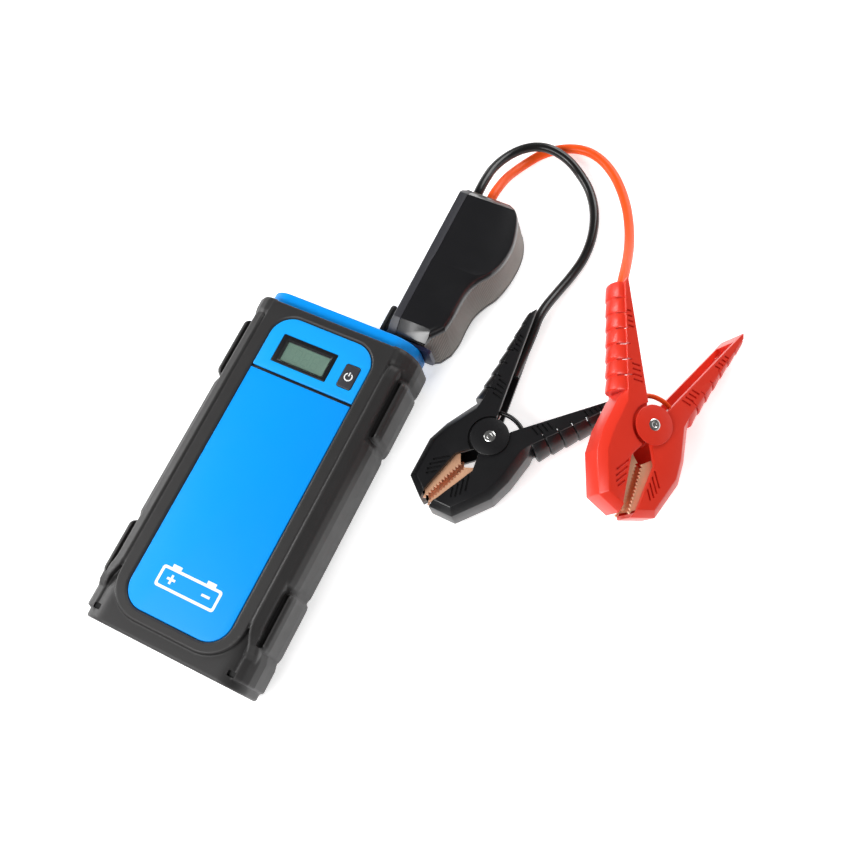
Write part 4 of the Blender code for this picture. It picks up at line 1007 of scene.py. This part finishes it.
@dataclass
class Sleeve:
    """The rubber jacket round the case, with its ring, shoulders, lugs and bumpers."""

    half_width: float = 46.0
    top: float = 40.4
    ring_top: float = 42.5
    foot: float = -95.0
    end: float = 88.5
    ring_half: float = 36.1
    ring_foot: float = -87.2
    ring_corner: float = 19.0
    voxel: float = 0.5
    lug_spans: tuple[Point, ...] = ((-74.0, -42.8), (40.6, 75.0))

    @staticmethod
    def run(profile: Sequence[Point], stations: Sequence[Place],
            side: int) -> Solid:
        """Return a body that runs along Y.

        Args:
            profile: Its section in X and Z.
            stations: Places along Y, each with how far the section moves out and how far it sinks.
            side: 1 on the right and -1 on the left.

        Returns:
            The body.
        """
        return Solid.loft([[(side * (x + out), y, z - sink) for x, z in profile]
                           for y, out, sink in stations])

    def shoulder(self, side: int) -> Solid:
        """Return the sloping shoulder beside the ring, whose lip curls outwards at its foot."""
        profile = ((36.9, 38.0), (36.6, 42.3), (37.0, 42.95), (37.7, 42.95), (38.5, 42.5),
                   (41.3, 41.3), (42.3, 40.2), (42.5, 38.4), (42.3, 30.0), (38.0, 30.0))
        return self.run(profile, ((-79.5, 3.2, 4.4), (-76.5, 3.3, 2.4), (-73.0, 2.9, 1.1),
                                  (-69.5, 1.6, 0.3), (-66.0, 0.4, 0.05), (-62.5, 0.0, 0.0),
                                  (72.0, 0.0, 0.0), (76.0, 0.2, 0.5), (79.0, 0.5, 1.5),
                                  (81.5, 0.6, 3.0)), side)

    def flank(self, side: int) -> Solid:
        """Return the shoulder's outer slope between the two lugs."""
        profile = ((39.0, 40.9), (41.3, 41.1), (43.6, 39.2), (45.4, 36.0), (46.3, 31.0),
                   (46.4, 20.0), (46.3, 10.0), (40.0, 9.0))
        low, high = self.lug_spans[0][1] + 0.6, self.lug_spans[1][0] - 0.6
        return self.run(profile, ((low, -1.6, 1.4), (low + 2.0, -0.4, 0.3), (low + 4.0, 0.0, 0.0),
                                  (high - 4.0, 0.0, 0.0), (high - 2.0, -0.4, 0.3),
                                  (high, -1.6, 1.4)), side)

    def corner_pad(self, side: int) -> Solid:
        """Return the pad at the port end, which the ring runs out into."""
        profile = ((34.0, 38.0), (35.2, 42.4), (38.6, 42.3), (41.6, 40.9), (44.6, 37.6),
                   (46.8, 32.0), (47.4, 26.0), (47.4, 12.0), (45.0, 6.0), (40.0, 3.6), (34.0, 3.6))
        return self.run(profile, ((76.6, -1.0, 2.6), (78.6, -0.3, 0.9), (81.0, 0.0, 0.2),
                                  (86.0, 0.0, 0.0), (88.3, -0.6, 0.5)), side)

    def lug(self, side: int, start: float, stop: float) -> Solid:
        """Return a strap lug, a long pad with round ends that stands up from the side."""
        profile = ((44.5, 30.0), (44.6, 36.6), (45.2, 37.5), (46.2, 37.6), (47.4, 36.4),
                   (48.2, 33.0), (48.3, 20.0), (47.8, 12.0), (46.4, 9.0), (43.0, 8.6))
        ends = ((0.0, -2.6, 5.0), (0.5, -1.3, 2.6), (1.6, -0.5, 1.0), (3.2, 0.0, 0.1))
        stations = [(start + along, out, sink) for along, out, sink in ends]
        stations += [(stop - along, out, sink) for along, out, sink in reversed(ends)]
        return self.run(profile, stations, side)

    def bumper(self, side: int) -> Solid:
        """Return the stepped guard at the foot's corner."""
        profile = ((37.0, 36.0), (40.4, 39.0), (43.8, 37.4), (46.6, 33.6), (48.0, 28.0),
                   (48.0, 13.0), (46.2, 7.4), (42.6, 3.4), (37.0, 3.2))
        return self.run(profile, ((-90.4, -0.9, 0.2), (-89.6, 0.0, 0.0), (-78.0, 0.0, 0.0),
                                  (-75.0, -0.9, 0.2), (-71.5, -1.6, 1.2)), side)

    def ring(self) -> Solid:
        """Return the raised ring round the window, its foot's corners round."""
        radius, half = self.ring_corner, self.ring_half
        outline = (arc((half - radius, self.ring_foot + radius), radius, -90, 0, 14)
                   + [(half, self.end - 0.9), (-half, self.end - 0.9)]
                   + arc((-half + radius, self.ring_foot + radius), radius, 180, 270, 14))
        return Solid.prism(outline, 30.0, self.ring_top).soften(0.6, 3, 50)

    def build(self, pack: PowerPack) -> None:
        """Make the sleeve.

        Args:
            pack: The pack that it fits round.
        """
        section = rounded(-self.half_width, self.half_width, 0.0, self.top, 14.0, 14)
        body = Solid.prism(section, self.foot, self.end, Plane.FACE).soften(1.2, 3, 60)
        added, pockets = [self.ring()], []
        for side in (-1, 1):
            added += [self.shoulder(side), self.flank(side), self.corner_pad(side),
                      self.bumper(side)]
            added += [self.lug(side, start, stop) for start, stop in self.lug_spans]
            pockets.append(Solid.slab((side * 38.6, -88.6), (4.0, 3.0), 0.7, 37.5, 60))
            pockets += [Solid.slab((side * 44.1, (start + stop) / 2),
                                            (2.4, stop - start - 2.6), 1.1, 30.6, 60)
                        for start, stop in self.lug_spans]
        body.gather(*added).melt(self.voxel, 1)
        mouth = Solid.loft([[(x, y, level) for x, y in pack.window(-flare)]
                            for flare, level in ((0.0, -5.0), (0.0, 41.6), (1.1, 42.6), (1.1, 60.0))])
        body.cut(Solid.prism(pack.section(-GAP), pack.foot - GAP, 120, Plane.FACE), mouth,
                 *pockets)
        body.finish("sleeve_jacket", SLEEVE_RUBBER, "pack", "grey_tpe", "rubber_sleeve", crease=50)


# ---------------------------------------------------------------------------- lead module

@dataclass
class LeadModule:
    """The control module in the lead: glossy front, side strip, ribbed grip and plug."""

    left: float = 22.3
    foot: float = 97.8
    end: float = 188.8
    front: float = 34.0
    split: float = 8.0
    back: float = 3.2
    strip: float = 27.2
    wall: float = 2.0
    crease: float = 142.0
    socket_x: float = SOCKET_X
    height: float = SOCKET_Z

    def outline(self, share: float, inset: float = 0.0) -> list[Point]:
        """Return the module's outline seen from the front.

        Args:
            share: 0 at the front face and 1 at the back seam, between which the grip swells.
            inset: How far it is drawn in.

        Returns:
            The closed outline.
        """
        front = ((43.8, 98.0), (44.0, 104.2), (49.6, 111.0), (50.4, 118.7), (50.7, 127.4),
                 (51.4, 134.3), (53.2, 140.6), (58.0, 146.6), (61.4, 154.0), (62.2, 163.0),
                 (60.2, 173.0), (56.4, 182.4), (49.4, 188.2))
        seam = ((44.6, 98.0), (48.4, 100.4), (51.8, 106.0), (53.0, 113.7), (52.8, 122.9),
                (53.4, 130.6), (56.2, 138.0), (60.0, 145.0), (62.4, 155.8), (62.8, 167.5),
                (60.6, 177.0), (55.6, 185.0), (49.4, 188.4))
        mixed = [(a[0] + (b[0] - a[0]) * share, a[1] + (b[1] - a[1]) * share)
                 for a, b in zip(front, seam)]
        head = mixed[:3]
        curve = [(p.x, p.y) for p in smooth_path([(x, y, 0) for x, y in mixed[2:]], 44)]
        points = head + curve[1:]
        moved = []
        for index, point in enumerate(points):
            before = Vector(points[max(index - 1, 0)])
            after = Vector(points[min(index + 1, len(points) - 1)])
            along = (after - before).normalized()
            moved.append((point[0] - along.y * inset, point[1] + along.x * inset))
        corner = 2.2 + 0.4 * inset
        return ([(self.left + inset, self.end - corner), (self.left + inset, self.foot + inset)]
                + moved + [(self.left + corner, self.end - inset)])

    def wedges(self, shrink: float) -> list[Solid]:
        """Return what slopes the module's ends and its upper front, set deeper by shrink."""
        front, drop = self.front, 1.0
        foot = [(90, front - 4 - shrink), (self.foot + 1.2, front - 4 - shrink),
                (self.foot + 8.2, front - shrink), (self.foot + 8.2, front + 5), (90, front + 5)]
        end = [(self.end + 5, front + 5), (self.end - 4.6, front + 5),
               (self.end - 4.6, front - drop - shrink), (self.end - 0.6, 29 - shrink),
               (self.end + 5, 29 - shrink)]
        slope = [(self.crease, front + 5), (self.crease, front - shrink),
                 (self.crease + 4.5, front - drop - shrink), (self.end + 5, front - drop - shrink),
                 (self.end + 5, front + 5)]
        return [Solid.prism(shape, 10, 80, Plane.SIDE) for shape in (foot, end, slope)]

    def form(self, inset: float, levels: Sequence[Point], shrink: float = 0.0) -> Solid:
        """Return a body with the module's form.

        Args:
            inset: How far it is drawn in all round.
            levels: Heights from low to high, each with a further inset of its own.
            shrink: How far its sloping faces are set back.

        Returns:
            The body.
        """
        rings = []
        for level, own in levels:
            share = min(max((self.front - level) / (self.front - self.split), 0), 1) ** 0.7
            rings.append([(x, y, level) for x, y in self.outline(share, inset + own)])
        return Solid.loft(rings).cut(*self.wedges(shrink))

    def build(self) -> None:
        """Make the module's hollow shells, its back tray, the grommets and the plug."""
        low, top, lip = self.split + 0.15, self.front, self.front - 5.0
        side = Solid.box((0, 80, -5), (self.strip + 0.1, 200, 50))
        grip = self.form(0.12, [(low, 0), (20.0, 0), (lip - 0.1, 0)])
        grip.cut(side, self.core(), *self.holes())
        grip.finish("module_grip_wall", GRIP_ABS, "lead", "black_abs", "module_front_shell")
        edge = [(lip, 0), (top - 2.0, 0), (top - 1.1, 0.25), (top - 0.4, 0.8), (top, 1.7)]
        side = Solid.box((0, 80, -5), (self.strip + 0.15, 200, 50))
        face = self.form(0.0, edge).cut(side).soften(0.45, 3, 24).cut(self.core())
        face.finish("module_front_face", GLOSS_ABS, "lead", "black_abs", "module_front_shell",
                    crease=30)
        side = Solid.box((self.strip - 0.1, 80, -5), (90, 200, 50))
        strip = self.form(0.0, [(low, 0), (20.0, 0), (top - 1.5, 0), (top, 0.8)]).cut(side)
        strip.soften(0.4, 3, 24).cut(self.core(), *self.holes())
        strip.finish("module_strip_shell", CHARCOAL_ABS, "lead", "black_abs", "module_side_strip",
                     crease=30)
        rings = []
        for inset, level in ((3.0, self.back), (1.4, self.back + 0.8), (0.4, self.back + 2.2),
                             (0.0, self.back + 3.4), (0.0, self.split - 0.15)):
            rings.append([(x, y, level) for x, y in self.outline(1.0, inset)])
        back = Solid.loft(rings)
        back.cut(Solid.prism(self.outline(1.0, 2.6), self.back + 2.2, 20))
        back.finish("module_back_tray", BLACK_ABS, "lead", "black_abs", "module_back_shell")
        self.build_plug()
        self.build_grommets()

    def core(self) -> Solid:
        """Return the room inside the module's shells."""
        wall = self.wall
        return self.form(wall, [(-5.0, 0), (self.split, 0), (self.front - wall, 0)], wall)

    def holes(self) -> list[Solid]:
        """Return the openings for the plug and the two cables."""
        holes = [Solid.prism(rounded(26.2, 39.8, 17.0, 25.2, 1.2), 90, 105, Plane.FACE)]
        for x in (BLACK_ROUTE[0][0], RED_ROUTE[0][0]):
            holes.append(Solid.round_bar((x, 20.0), 3.7, 180, 195, Plane.FACE))
        return holes

    def build_plug(self) -> None:
        """Make the plug's body and contacts."""
        z = self.height
        plug = Solid.slab((self.socket_x, z), (16.2, 9.8), 1.0, 78.6, 96.0, Plane.FACE)
        plug.soften(0.3, 2, 60)
        collar = Solid.prism(rounded(25.4, 48.0, 12.6, 29.4, 2.4), 95.3, 97.5, Plane.FACE)
        tail = Solid.prism(rounded(26.5, 39.5, 17.3, 24.9, 1.0), 96.5, 104.0, Plane.FACE)
        plug.join(collar.soften(0.25, 2, 60), tail)
        for side in (-1, 1):
            centre = (self.socket_x + side * CONTACT_OFFSET, z)
            plug.cut(Solid.round_bar(centre, 3.3, 70, 95.0, Plane.FACE, 32))
        plug.finish("plug_body", NAVY_NYLON, "lead", "navy_nylon", "plug_housing")
        for name, side in (("positive", 1), ("negative", -1)):
            centre = (self.socket_x + side * CONTACT_OFFSET, z)
            sleeve = Solid.round_bar(centre, 3.0, 79.4, 94.0, Plane.FACE, 32)
            sleeve.cut(Solid.round_bar(centre, 2.2, 70, 92.0, Plane.FACE, 32))
            sleeve.finish(f"plug_sleeve_{name}", GOLD, "lead", "gold_plated_brass",
                          f"plug_contact_{name}")

    def build_grommets(self) -> None:
        """Make the soft collars where the cables leave the module."""
        for tag, route in (("black", BLACK_ROUTE), ("red", RED_ROUTE)):
            x, y, z = route[0]
            profile = [(0, 183.8), (3.2, 183.8), (3.4, 184.4), (3.4, 188.6), (3.7, 189.0),
                       (3.7, 189.6), (3.2, y - 0.2), (0, y - 0.2)]
            turn = stood_along_y(x, z)
            Solid.turned(profile).move(turn).finish(
                f"{tag}_cable_collar", COVER_RUBBER, "lead", "grey_tpe", f"{tag}_cable_grommet")


# ---------------------------------------------------------------------------- clamps

class Half(Enum):
    """Which half of a clamp: the one that holds the cable, or the one that swings."""

    CABLE = 1
    MOVING = -1


@dataclass
class Clamp:
    """A battery clamp: two hollow halves, copper jaws, rivet, spring and jumper wire.

    It is drawn in its own frame, with the pivot at the origin, +X towards the handles, +Y towards
    the cable half and +Z out of the front.
    """

    tag: str
    heading: float
    finish: Finish
    slot: str
    wire: Finish
    wire_slot: str
    thick: float = 10.0
    wall: float = 2.4
    chamfer: float = 3.8
    segments: int = 7
    grip_sides: int = 16
    jaw_lean: float = 34.0

    nose = ((-45.5, 3.0), (-41.0, 15.4), (-21.0, 22.6), (-9.5, 22.4), (6.5, 19.6))
    inner = ((13.0, 7.2), (65.0, 33.8))
    border = ((12.6, 14.4), (62.0, 34.6))
    outer = ((10.0, 23.0), (62.0, 38.2))
    notch = ((-10.5, 2.4), (-18.0, 6.4), (-44.5, 3.6))

    def placement(self, frame: dict) -> Matrix:
        """Return where the clamp lies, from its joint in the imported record."""
        joint = next(j for j in frame["joints"] if j["name"] == f"{self.tag}_clamp_open")
        axis = Vector(joint["axis"]).normalized()
        along = Vector((math.cos(math.radians(self.heading)), math.sin(math.radians(self.heading)), 0))
        along = (along - axis * along.dot(axis)).normalized()
        side = axis.cross(along)
        turn = Matrix((along, side, axis)).transposed().to_4x4()
        return Matrix.Translation(Vector(joint["pos_m"]) / MM) @ turn

    @staticmethod
    def between(line: tuple[Point, Point], share: float) -> Vector:
        """Return the point at a share of the way along a line."""
        return Vector(line[0]).lerp(Vector(line[1]), share)

    def nose_in(self, inset: float) -> list[Point]:
        """Return the nose's outline drawn in by an inset, its tip moved along the jaw line."""
        moved = []
        for index, point in enumerate(self.nose):
            before = Vector(self.nose[max(index - 1, 0)])
            after = Vector(self.nose[min(index + 1, len(self.nose) - 1)])
            along = (after - before).normalized()
            moved.append((point[0] + along.y * inset, point[1] - along.x * inset))
        moved[0] = (self.nose[0][0] + inset, self.nose[0][1] + 0.1 * inset)
        return moved

    def body_outline(self, inset: float) -> list[Point]:
        """Return a half's flat outline, with its nose drawn in."""
        start = self.between(self.border, 0.0) + Vector((-1.0, 3.0))
        tip = (self.notch[-1][0] + inset, self.notch[-1][1] + 0.1 * inset)
        return (self.nose_in(inset) + [tuple(start), tuple(self.between(self.border, 1.0)),
                                       self.inner[1], self.inner[0], (9.4, 5.4), (-9.0, 1.4)]
                + list(self.notch[:-1]) + [tip])

    def grip_ring(self, share: float, side: int, scale: float, thick: float) -> list[tuple]:
        """Return the grip's half-round section at a share of the way along the handle."""
        edge = self.between(self.border, share)
        across = self.between(self.outer, share) - edge
        ring = []
        for step in range(self.grip_sides + 1):
            angle = math.pi * (step / self.grip_sides - 0.5)
            place = edge + across * (max(math.cos(angle), 0) * scale)
            ring.append((place.x, place.y * side, math.sin(angle) * thick))
        back = edge - across.normalized() * 1.2
        return ring + [(back.x, back.y * side, thick), (back.x, back.y * side, -thick)]

    def grip(self, side: int) -> list[Solid]:
        """Return the grip's stepped half-round segments."""
        shells = []
        for number in range(self.segments):
            rings = []
            for place, swell in ((0.0, 0.97), (0.08, 1.02), (0.8, 0.95), (0.88, 0.9), (1.08, 0.86)):
                share = min((number + place) / self.segments, 1.0)
                thick = 9.75 - 1.4 * share - 0.4 * (1.02 - swell) / 0.16
                rings.append(self.grip_ring(share, side, swell, thick))
            shells.append(Solid.loft(rings))
        return shells

    def slits(self, side: int) -> list[Solid]:
        """Return the thin slots between the grip's segments."""
        cuts = []
        for number in range(1, self.segments):
            share = (number - 0.06) / self.segments
            edge = self.between(self.border, share)
            across = self.between(self.outer, share) - edge
            along = (self.between(self.border, 1) - self.between(self.border, 0)).normalized()
            start, stop = edge - across * 0.05, edge + across * 0.72
            wide = along * 0.35
            outline = [start - wide, start + wide, stop + wide, stop - wide]
            cuts.append(Solid.prism([(p.x, p.y * side) for p in outline], -30, 30))
        return cuts

    def groove(self, start: Vector, along: Vector, length: float, width: float, side: int,
               depth: float) -> list[Solid]:
        """Return a straight groove in both faces of a half."""
        across = Vector((-along.y, along.x)) * width / 2
        stop = start + along * length
        outline = [(p.x, p.y * side) for p in (start - across, start + across, stop + across,
                                               stop - across)]
        return [Solid.prism(outline, self.thick - depth, self.thick + 5),
                Solid.prism(outline, -self.thick - 5, depth - self.thick)]

    def grooves(self, side: int) -> list[Solid]:
        """Return the slanting grooves beside the jaw and on the handle's rail."""
        cuts = []
        lean = -Vector((math.cos(math.radians(self.jaw_lean)), -math.sin(math.radians(self.jaw_lean))))
        for number, length in enumerate((8.6, 8.2, 7.2, 5.4)):
            start = Vector((-20.6 - 3.3 * number, 7.0 - 0.35 * number))
            cuts += self.groove(start, lean, length, 1.05, side, 1.0)
        rail = (Vector(self.inner[1]) - Vector(self.inner[0])).normalized()
        slant = Vector((rail.x * 0.35 - rail.y * 0.94, rail.y * 0.35 + rail.x * 0.94))
        for first in (0.1, 0.56):
            for number in range(4):
                share = first + 0.045 * number
                start = self.between(self.inner, share) + slant * 1.3
                room = 5.6 - 4.4 * share
                cuts += self.groove(start, slant, room, 1.0, side, 0.9)
        return cuts

    def shape_half(self, half: Half) -> Solid:
        """Return a half's hollow body, with its grip, slits and grooves."""
        side = half.value
        rings = []
        for inset, level in ((self.chamfer, -self.thick), (0.0, self.chamfer - self.thick),
                             (0.0, self.thick - self.chamfer), (self.chamfer, self.thick)):
            rings.append([(x, y * side, level) for x, y in self.body_outline(inset)])
        body = Solid.loft(rings).soften(0.35, 2, 20)
        inner = self.thick - self.wall
        open_end = half is Half.CABLE
        start = self.between(self.border, 0.0) + Vector((0.0, 2.0))
        far = self.between(self.border, 1.1 if open_end else 0.94)
        reach = 68.0 if open_end else 59.5
        outline = (self.nose_in(self.wall) + [tuple(start), tuple(far), (reach, 24.0),
                                              (20.0, -4.0), (-20.0, -8.0), (-60.0, -8.0)])
        hollow = Solid.prism([(x, y * side) for x, y in outline], -inner, inner)
        bore = Solid.loft([self.grip_ring(share, side, 0.68, thick)
                           for share, thick in ((0.0, 7.6), (0.94, 6.2))])
        body.join(*self.grip(side))
        body.cut(hollow, bore, *self.slits(side), *self.grooves(side))
        return body

    def build_halves(self, place: Matrix) -> None:
        """Make the two halves."""
        cable = self.shape_half(Half.CABLE)
        cable.cut(*[Solid.round_bar((0, 0), 11.2, *run) for run in ((8.5, 20), (-20, -8.5))])
        cable.join(*[Solid.round_bar((0, 0), 7.6, *run) for run in ((7.5, 9.2), (-9.2, -7.5))])
        cable.cut(Solid.round_bar((0, 0), 2.5, -20, 20))
        cable.move(place).finish(f"{self.tag}_cable_handle", self.finish, "lead", self.slot,
                                 f"{self.tag}_cable_half", crease=28)
        moving = self.shape_half(Half.MOVING)
        moving.cut(Solid.round_bar((0, 0), 8.1, -20, 20))
        web = arc((0, 0), 9.4, -165, -40, 20) + arc((0, 0), 8.4, -40, -165, 20)
        for low, high, disc_low, disc_high in ((9.0, 10.6, 10.3, 11.3), (-10.6, -9.0, -11.3, -10.3)):
            disc = Solid.round_bar((0, 0), 9.8, disc_low, disc_high, sides=64).soften(0.35, 2, 60)
            moving.join(Solid.prism(web, low, high), disc)
        moving.cut(Solid.round_bar((0, 0), 2.5, -20, 20))
        moving.move(place).finish(f"{self.tag}_moving_handle", self.finish, f"{self.tag}_arm",
                                  self.slot, f"{self.tag}_moving_half", crease=28)

    def build_jaw(self, half: Half, place: Matrix) -> None:
        """Make one toothed copper jaw."""
        side = half.value
        start, stop, teeth = -44.2, -18.6, 14
        pitch = (stop - start) / teeth
        outline = []
        for tooth in range(teeth + 1):
            x = start + tooth * pitch
            arch = 0.3 * math.sin(math.pi * tooth / teeth)
            outline.append((x, 2.1 + arch))
            if tooth < teeth:
                outline.append((x + pitch * 0.5, 0.95 + arch / 2))
        outline += [(stop + 3.0, 5.4), (stop - 1.0, 8.6), (start + 4.0, 6.2), (start + 2.4, 2.9)]
        jaw = Solid.prism([(x, y * side) for x, y in outline], -6.8, 6.8)
        hollow = [(start - 5, -2.0), (stop + 6, -2.0), (stop + 6, 5.0), (stop - 0.4, 7.3),
                  (start - 5, 4.4)]
        jaw.cut(Solid.prism([(x, y * side) for x, y in hollow], -5.8, 5.8))
        body = "lead" if half is Half.CABLE else f"{self.tag}_arm"
        node = f"{self.tag}_{'cable' if half is Half.CABLE else 'moving'}_jaw"
        jaw.move(place).finish(f"{node}_plate", COPPER, body, "copper", node)

    def build_rivet(self, place: Matrix) -> None:
        """Make the tubular rivet."""
        half = [(0.0, 11.0), (1.0, 11.0), (1.25, 11.5), (1.7, 11.7), (2.4, 11.65), (2.9, 11.4),
                (2.9, 11.35), (2.2, 11.3)]
        profile = half + [(radius, -height) for radius, height in reversed(half)]
        Solid.turned(profile).move(place).finish(
            f"{self.tag}_tube_rivet", NICKEL, "lead", "steel", f"{self.tag}_rivet")

    def build_spring(self, place: Matrix) -> None:
        """Make the torsion spring round the rivet."""
        turn = 2 * 360.0 + 236.0
        rise = 1.8 * turn / 360
        points = [Vector((14.6, 9.6, -rise / 2)), Vector((8.0, 7.4, -rise / 2))]
        for index in range(73):
            angle = math.radians(118.0 - turn * index / 72)
            points.append(Vector((5.2 * math.cos(angle), 5.2 * math.sin(angle),
                                  rise * (index / 72 - 0.5))))
        points += [Vector((8.0, -7.4, rise / 2)), Vector((14.6, -9.6, rise / 2))]
        Solid.tube(points, 0.65, 10).move(place).finish(
            f"{self.tag}_torsion_spring", NICKEL, "lead", "steel", f"{self.tag}_spring")

    def build_jumper(self, place: Matrix) -> None:
        """Make the wire that joins the two jaws across the pivot."""
        route = ((4.0, 14.8, 4.6), (9.0, 12.6, 4.6), (13.0, 8.2, 4.6), (15.6, 1.6, 4.6),
                 (15.2, -5.6, 4.6), (11.6, -11.0, 4.6), (5.0, -14.6, 4.6))
        Solid.tube(smooth_path(route, 40), 1.2, 16).move(place).finish(
            f"{self.tag}_jumper_skin", self.wire, "lead", self.wire_slot,
            f"{self.tag}_jumper_wire")

    def build(self, frame: dict) -> None:
        """Make the whole clamp.

        Args:
            frame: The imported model.
        """
        place = self.placement(frame)
        self.build_halves(place)
        for half in Half:
            self.build_jaw(half, place)
        self.build_rivet(place)
        self.build_spring(place)
        self.build_jumper(place)


# ---------------------------------------------------------------------------- inner pieces

def dress_inner_pieces(frame: dict) -> None:
    """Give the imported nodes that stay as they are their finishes.

    Args:
        frame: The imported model.
    """
    finishes = {"display_module": BLACK_ABS, "module_relay": BLACK_ABS, "button_switch": NICKEL}
    finishes |= {f"{name}_board": GREEN_BOARD for name in ("button", "main", "module")}
    finishes |= {f"battery_cell_{number}": CELL_FOIL for number in range(1, 4)}
    finishes |= {f"case_screw_{number}": NICKEL for number in range(1, 5)}
    for node, finish in finishes.items():
        mesh = frame["nodes"][node].data
        mesh.materials.clear()
        mesh.materials.append(finish.material())
        LOG.info("%s is finished as %s", node, finish.name)


def main() -> None:
    """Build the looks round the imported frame."""
    logging.basicConfig(level=logging.INFO, format="%(message)s")
    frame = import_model()
    studio = Studio()
    studio.aim()
    for tag, skin, route in (("black", BLACK_SILICONE, BLACK_ROUTE), ("red", RED_SILICONE, RED_ROUTE)):
        LeadCable(f"{tag}_cable_skin", skin, f"{tag}_silicone", route).build()
    studio.furnish()
    pack = PowerPack()
    pack.build()
    Sleeve().build(pack)
    LeadModule().build()
    Clamp("black", 68.9, BLACK_ABS, "black_abs", BLACK_SILICONE, "black_silicone").build(frame)
    Clamp("red", 98.5, RED_ABS, "red_abs", RED_SILICONE, "red_silicone").build(frame)
    dress_inner_pieces(frame)


if __name__ == "__main__":
    main()
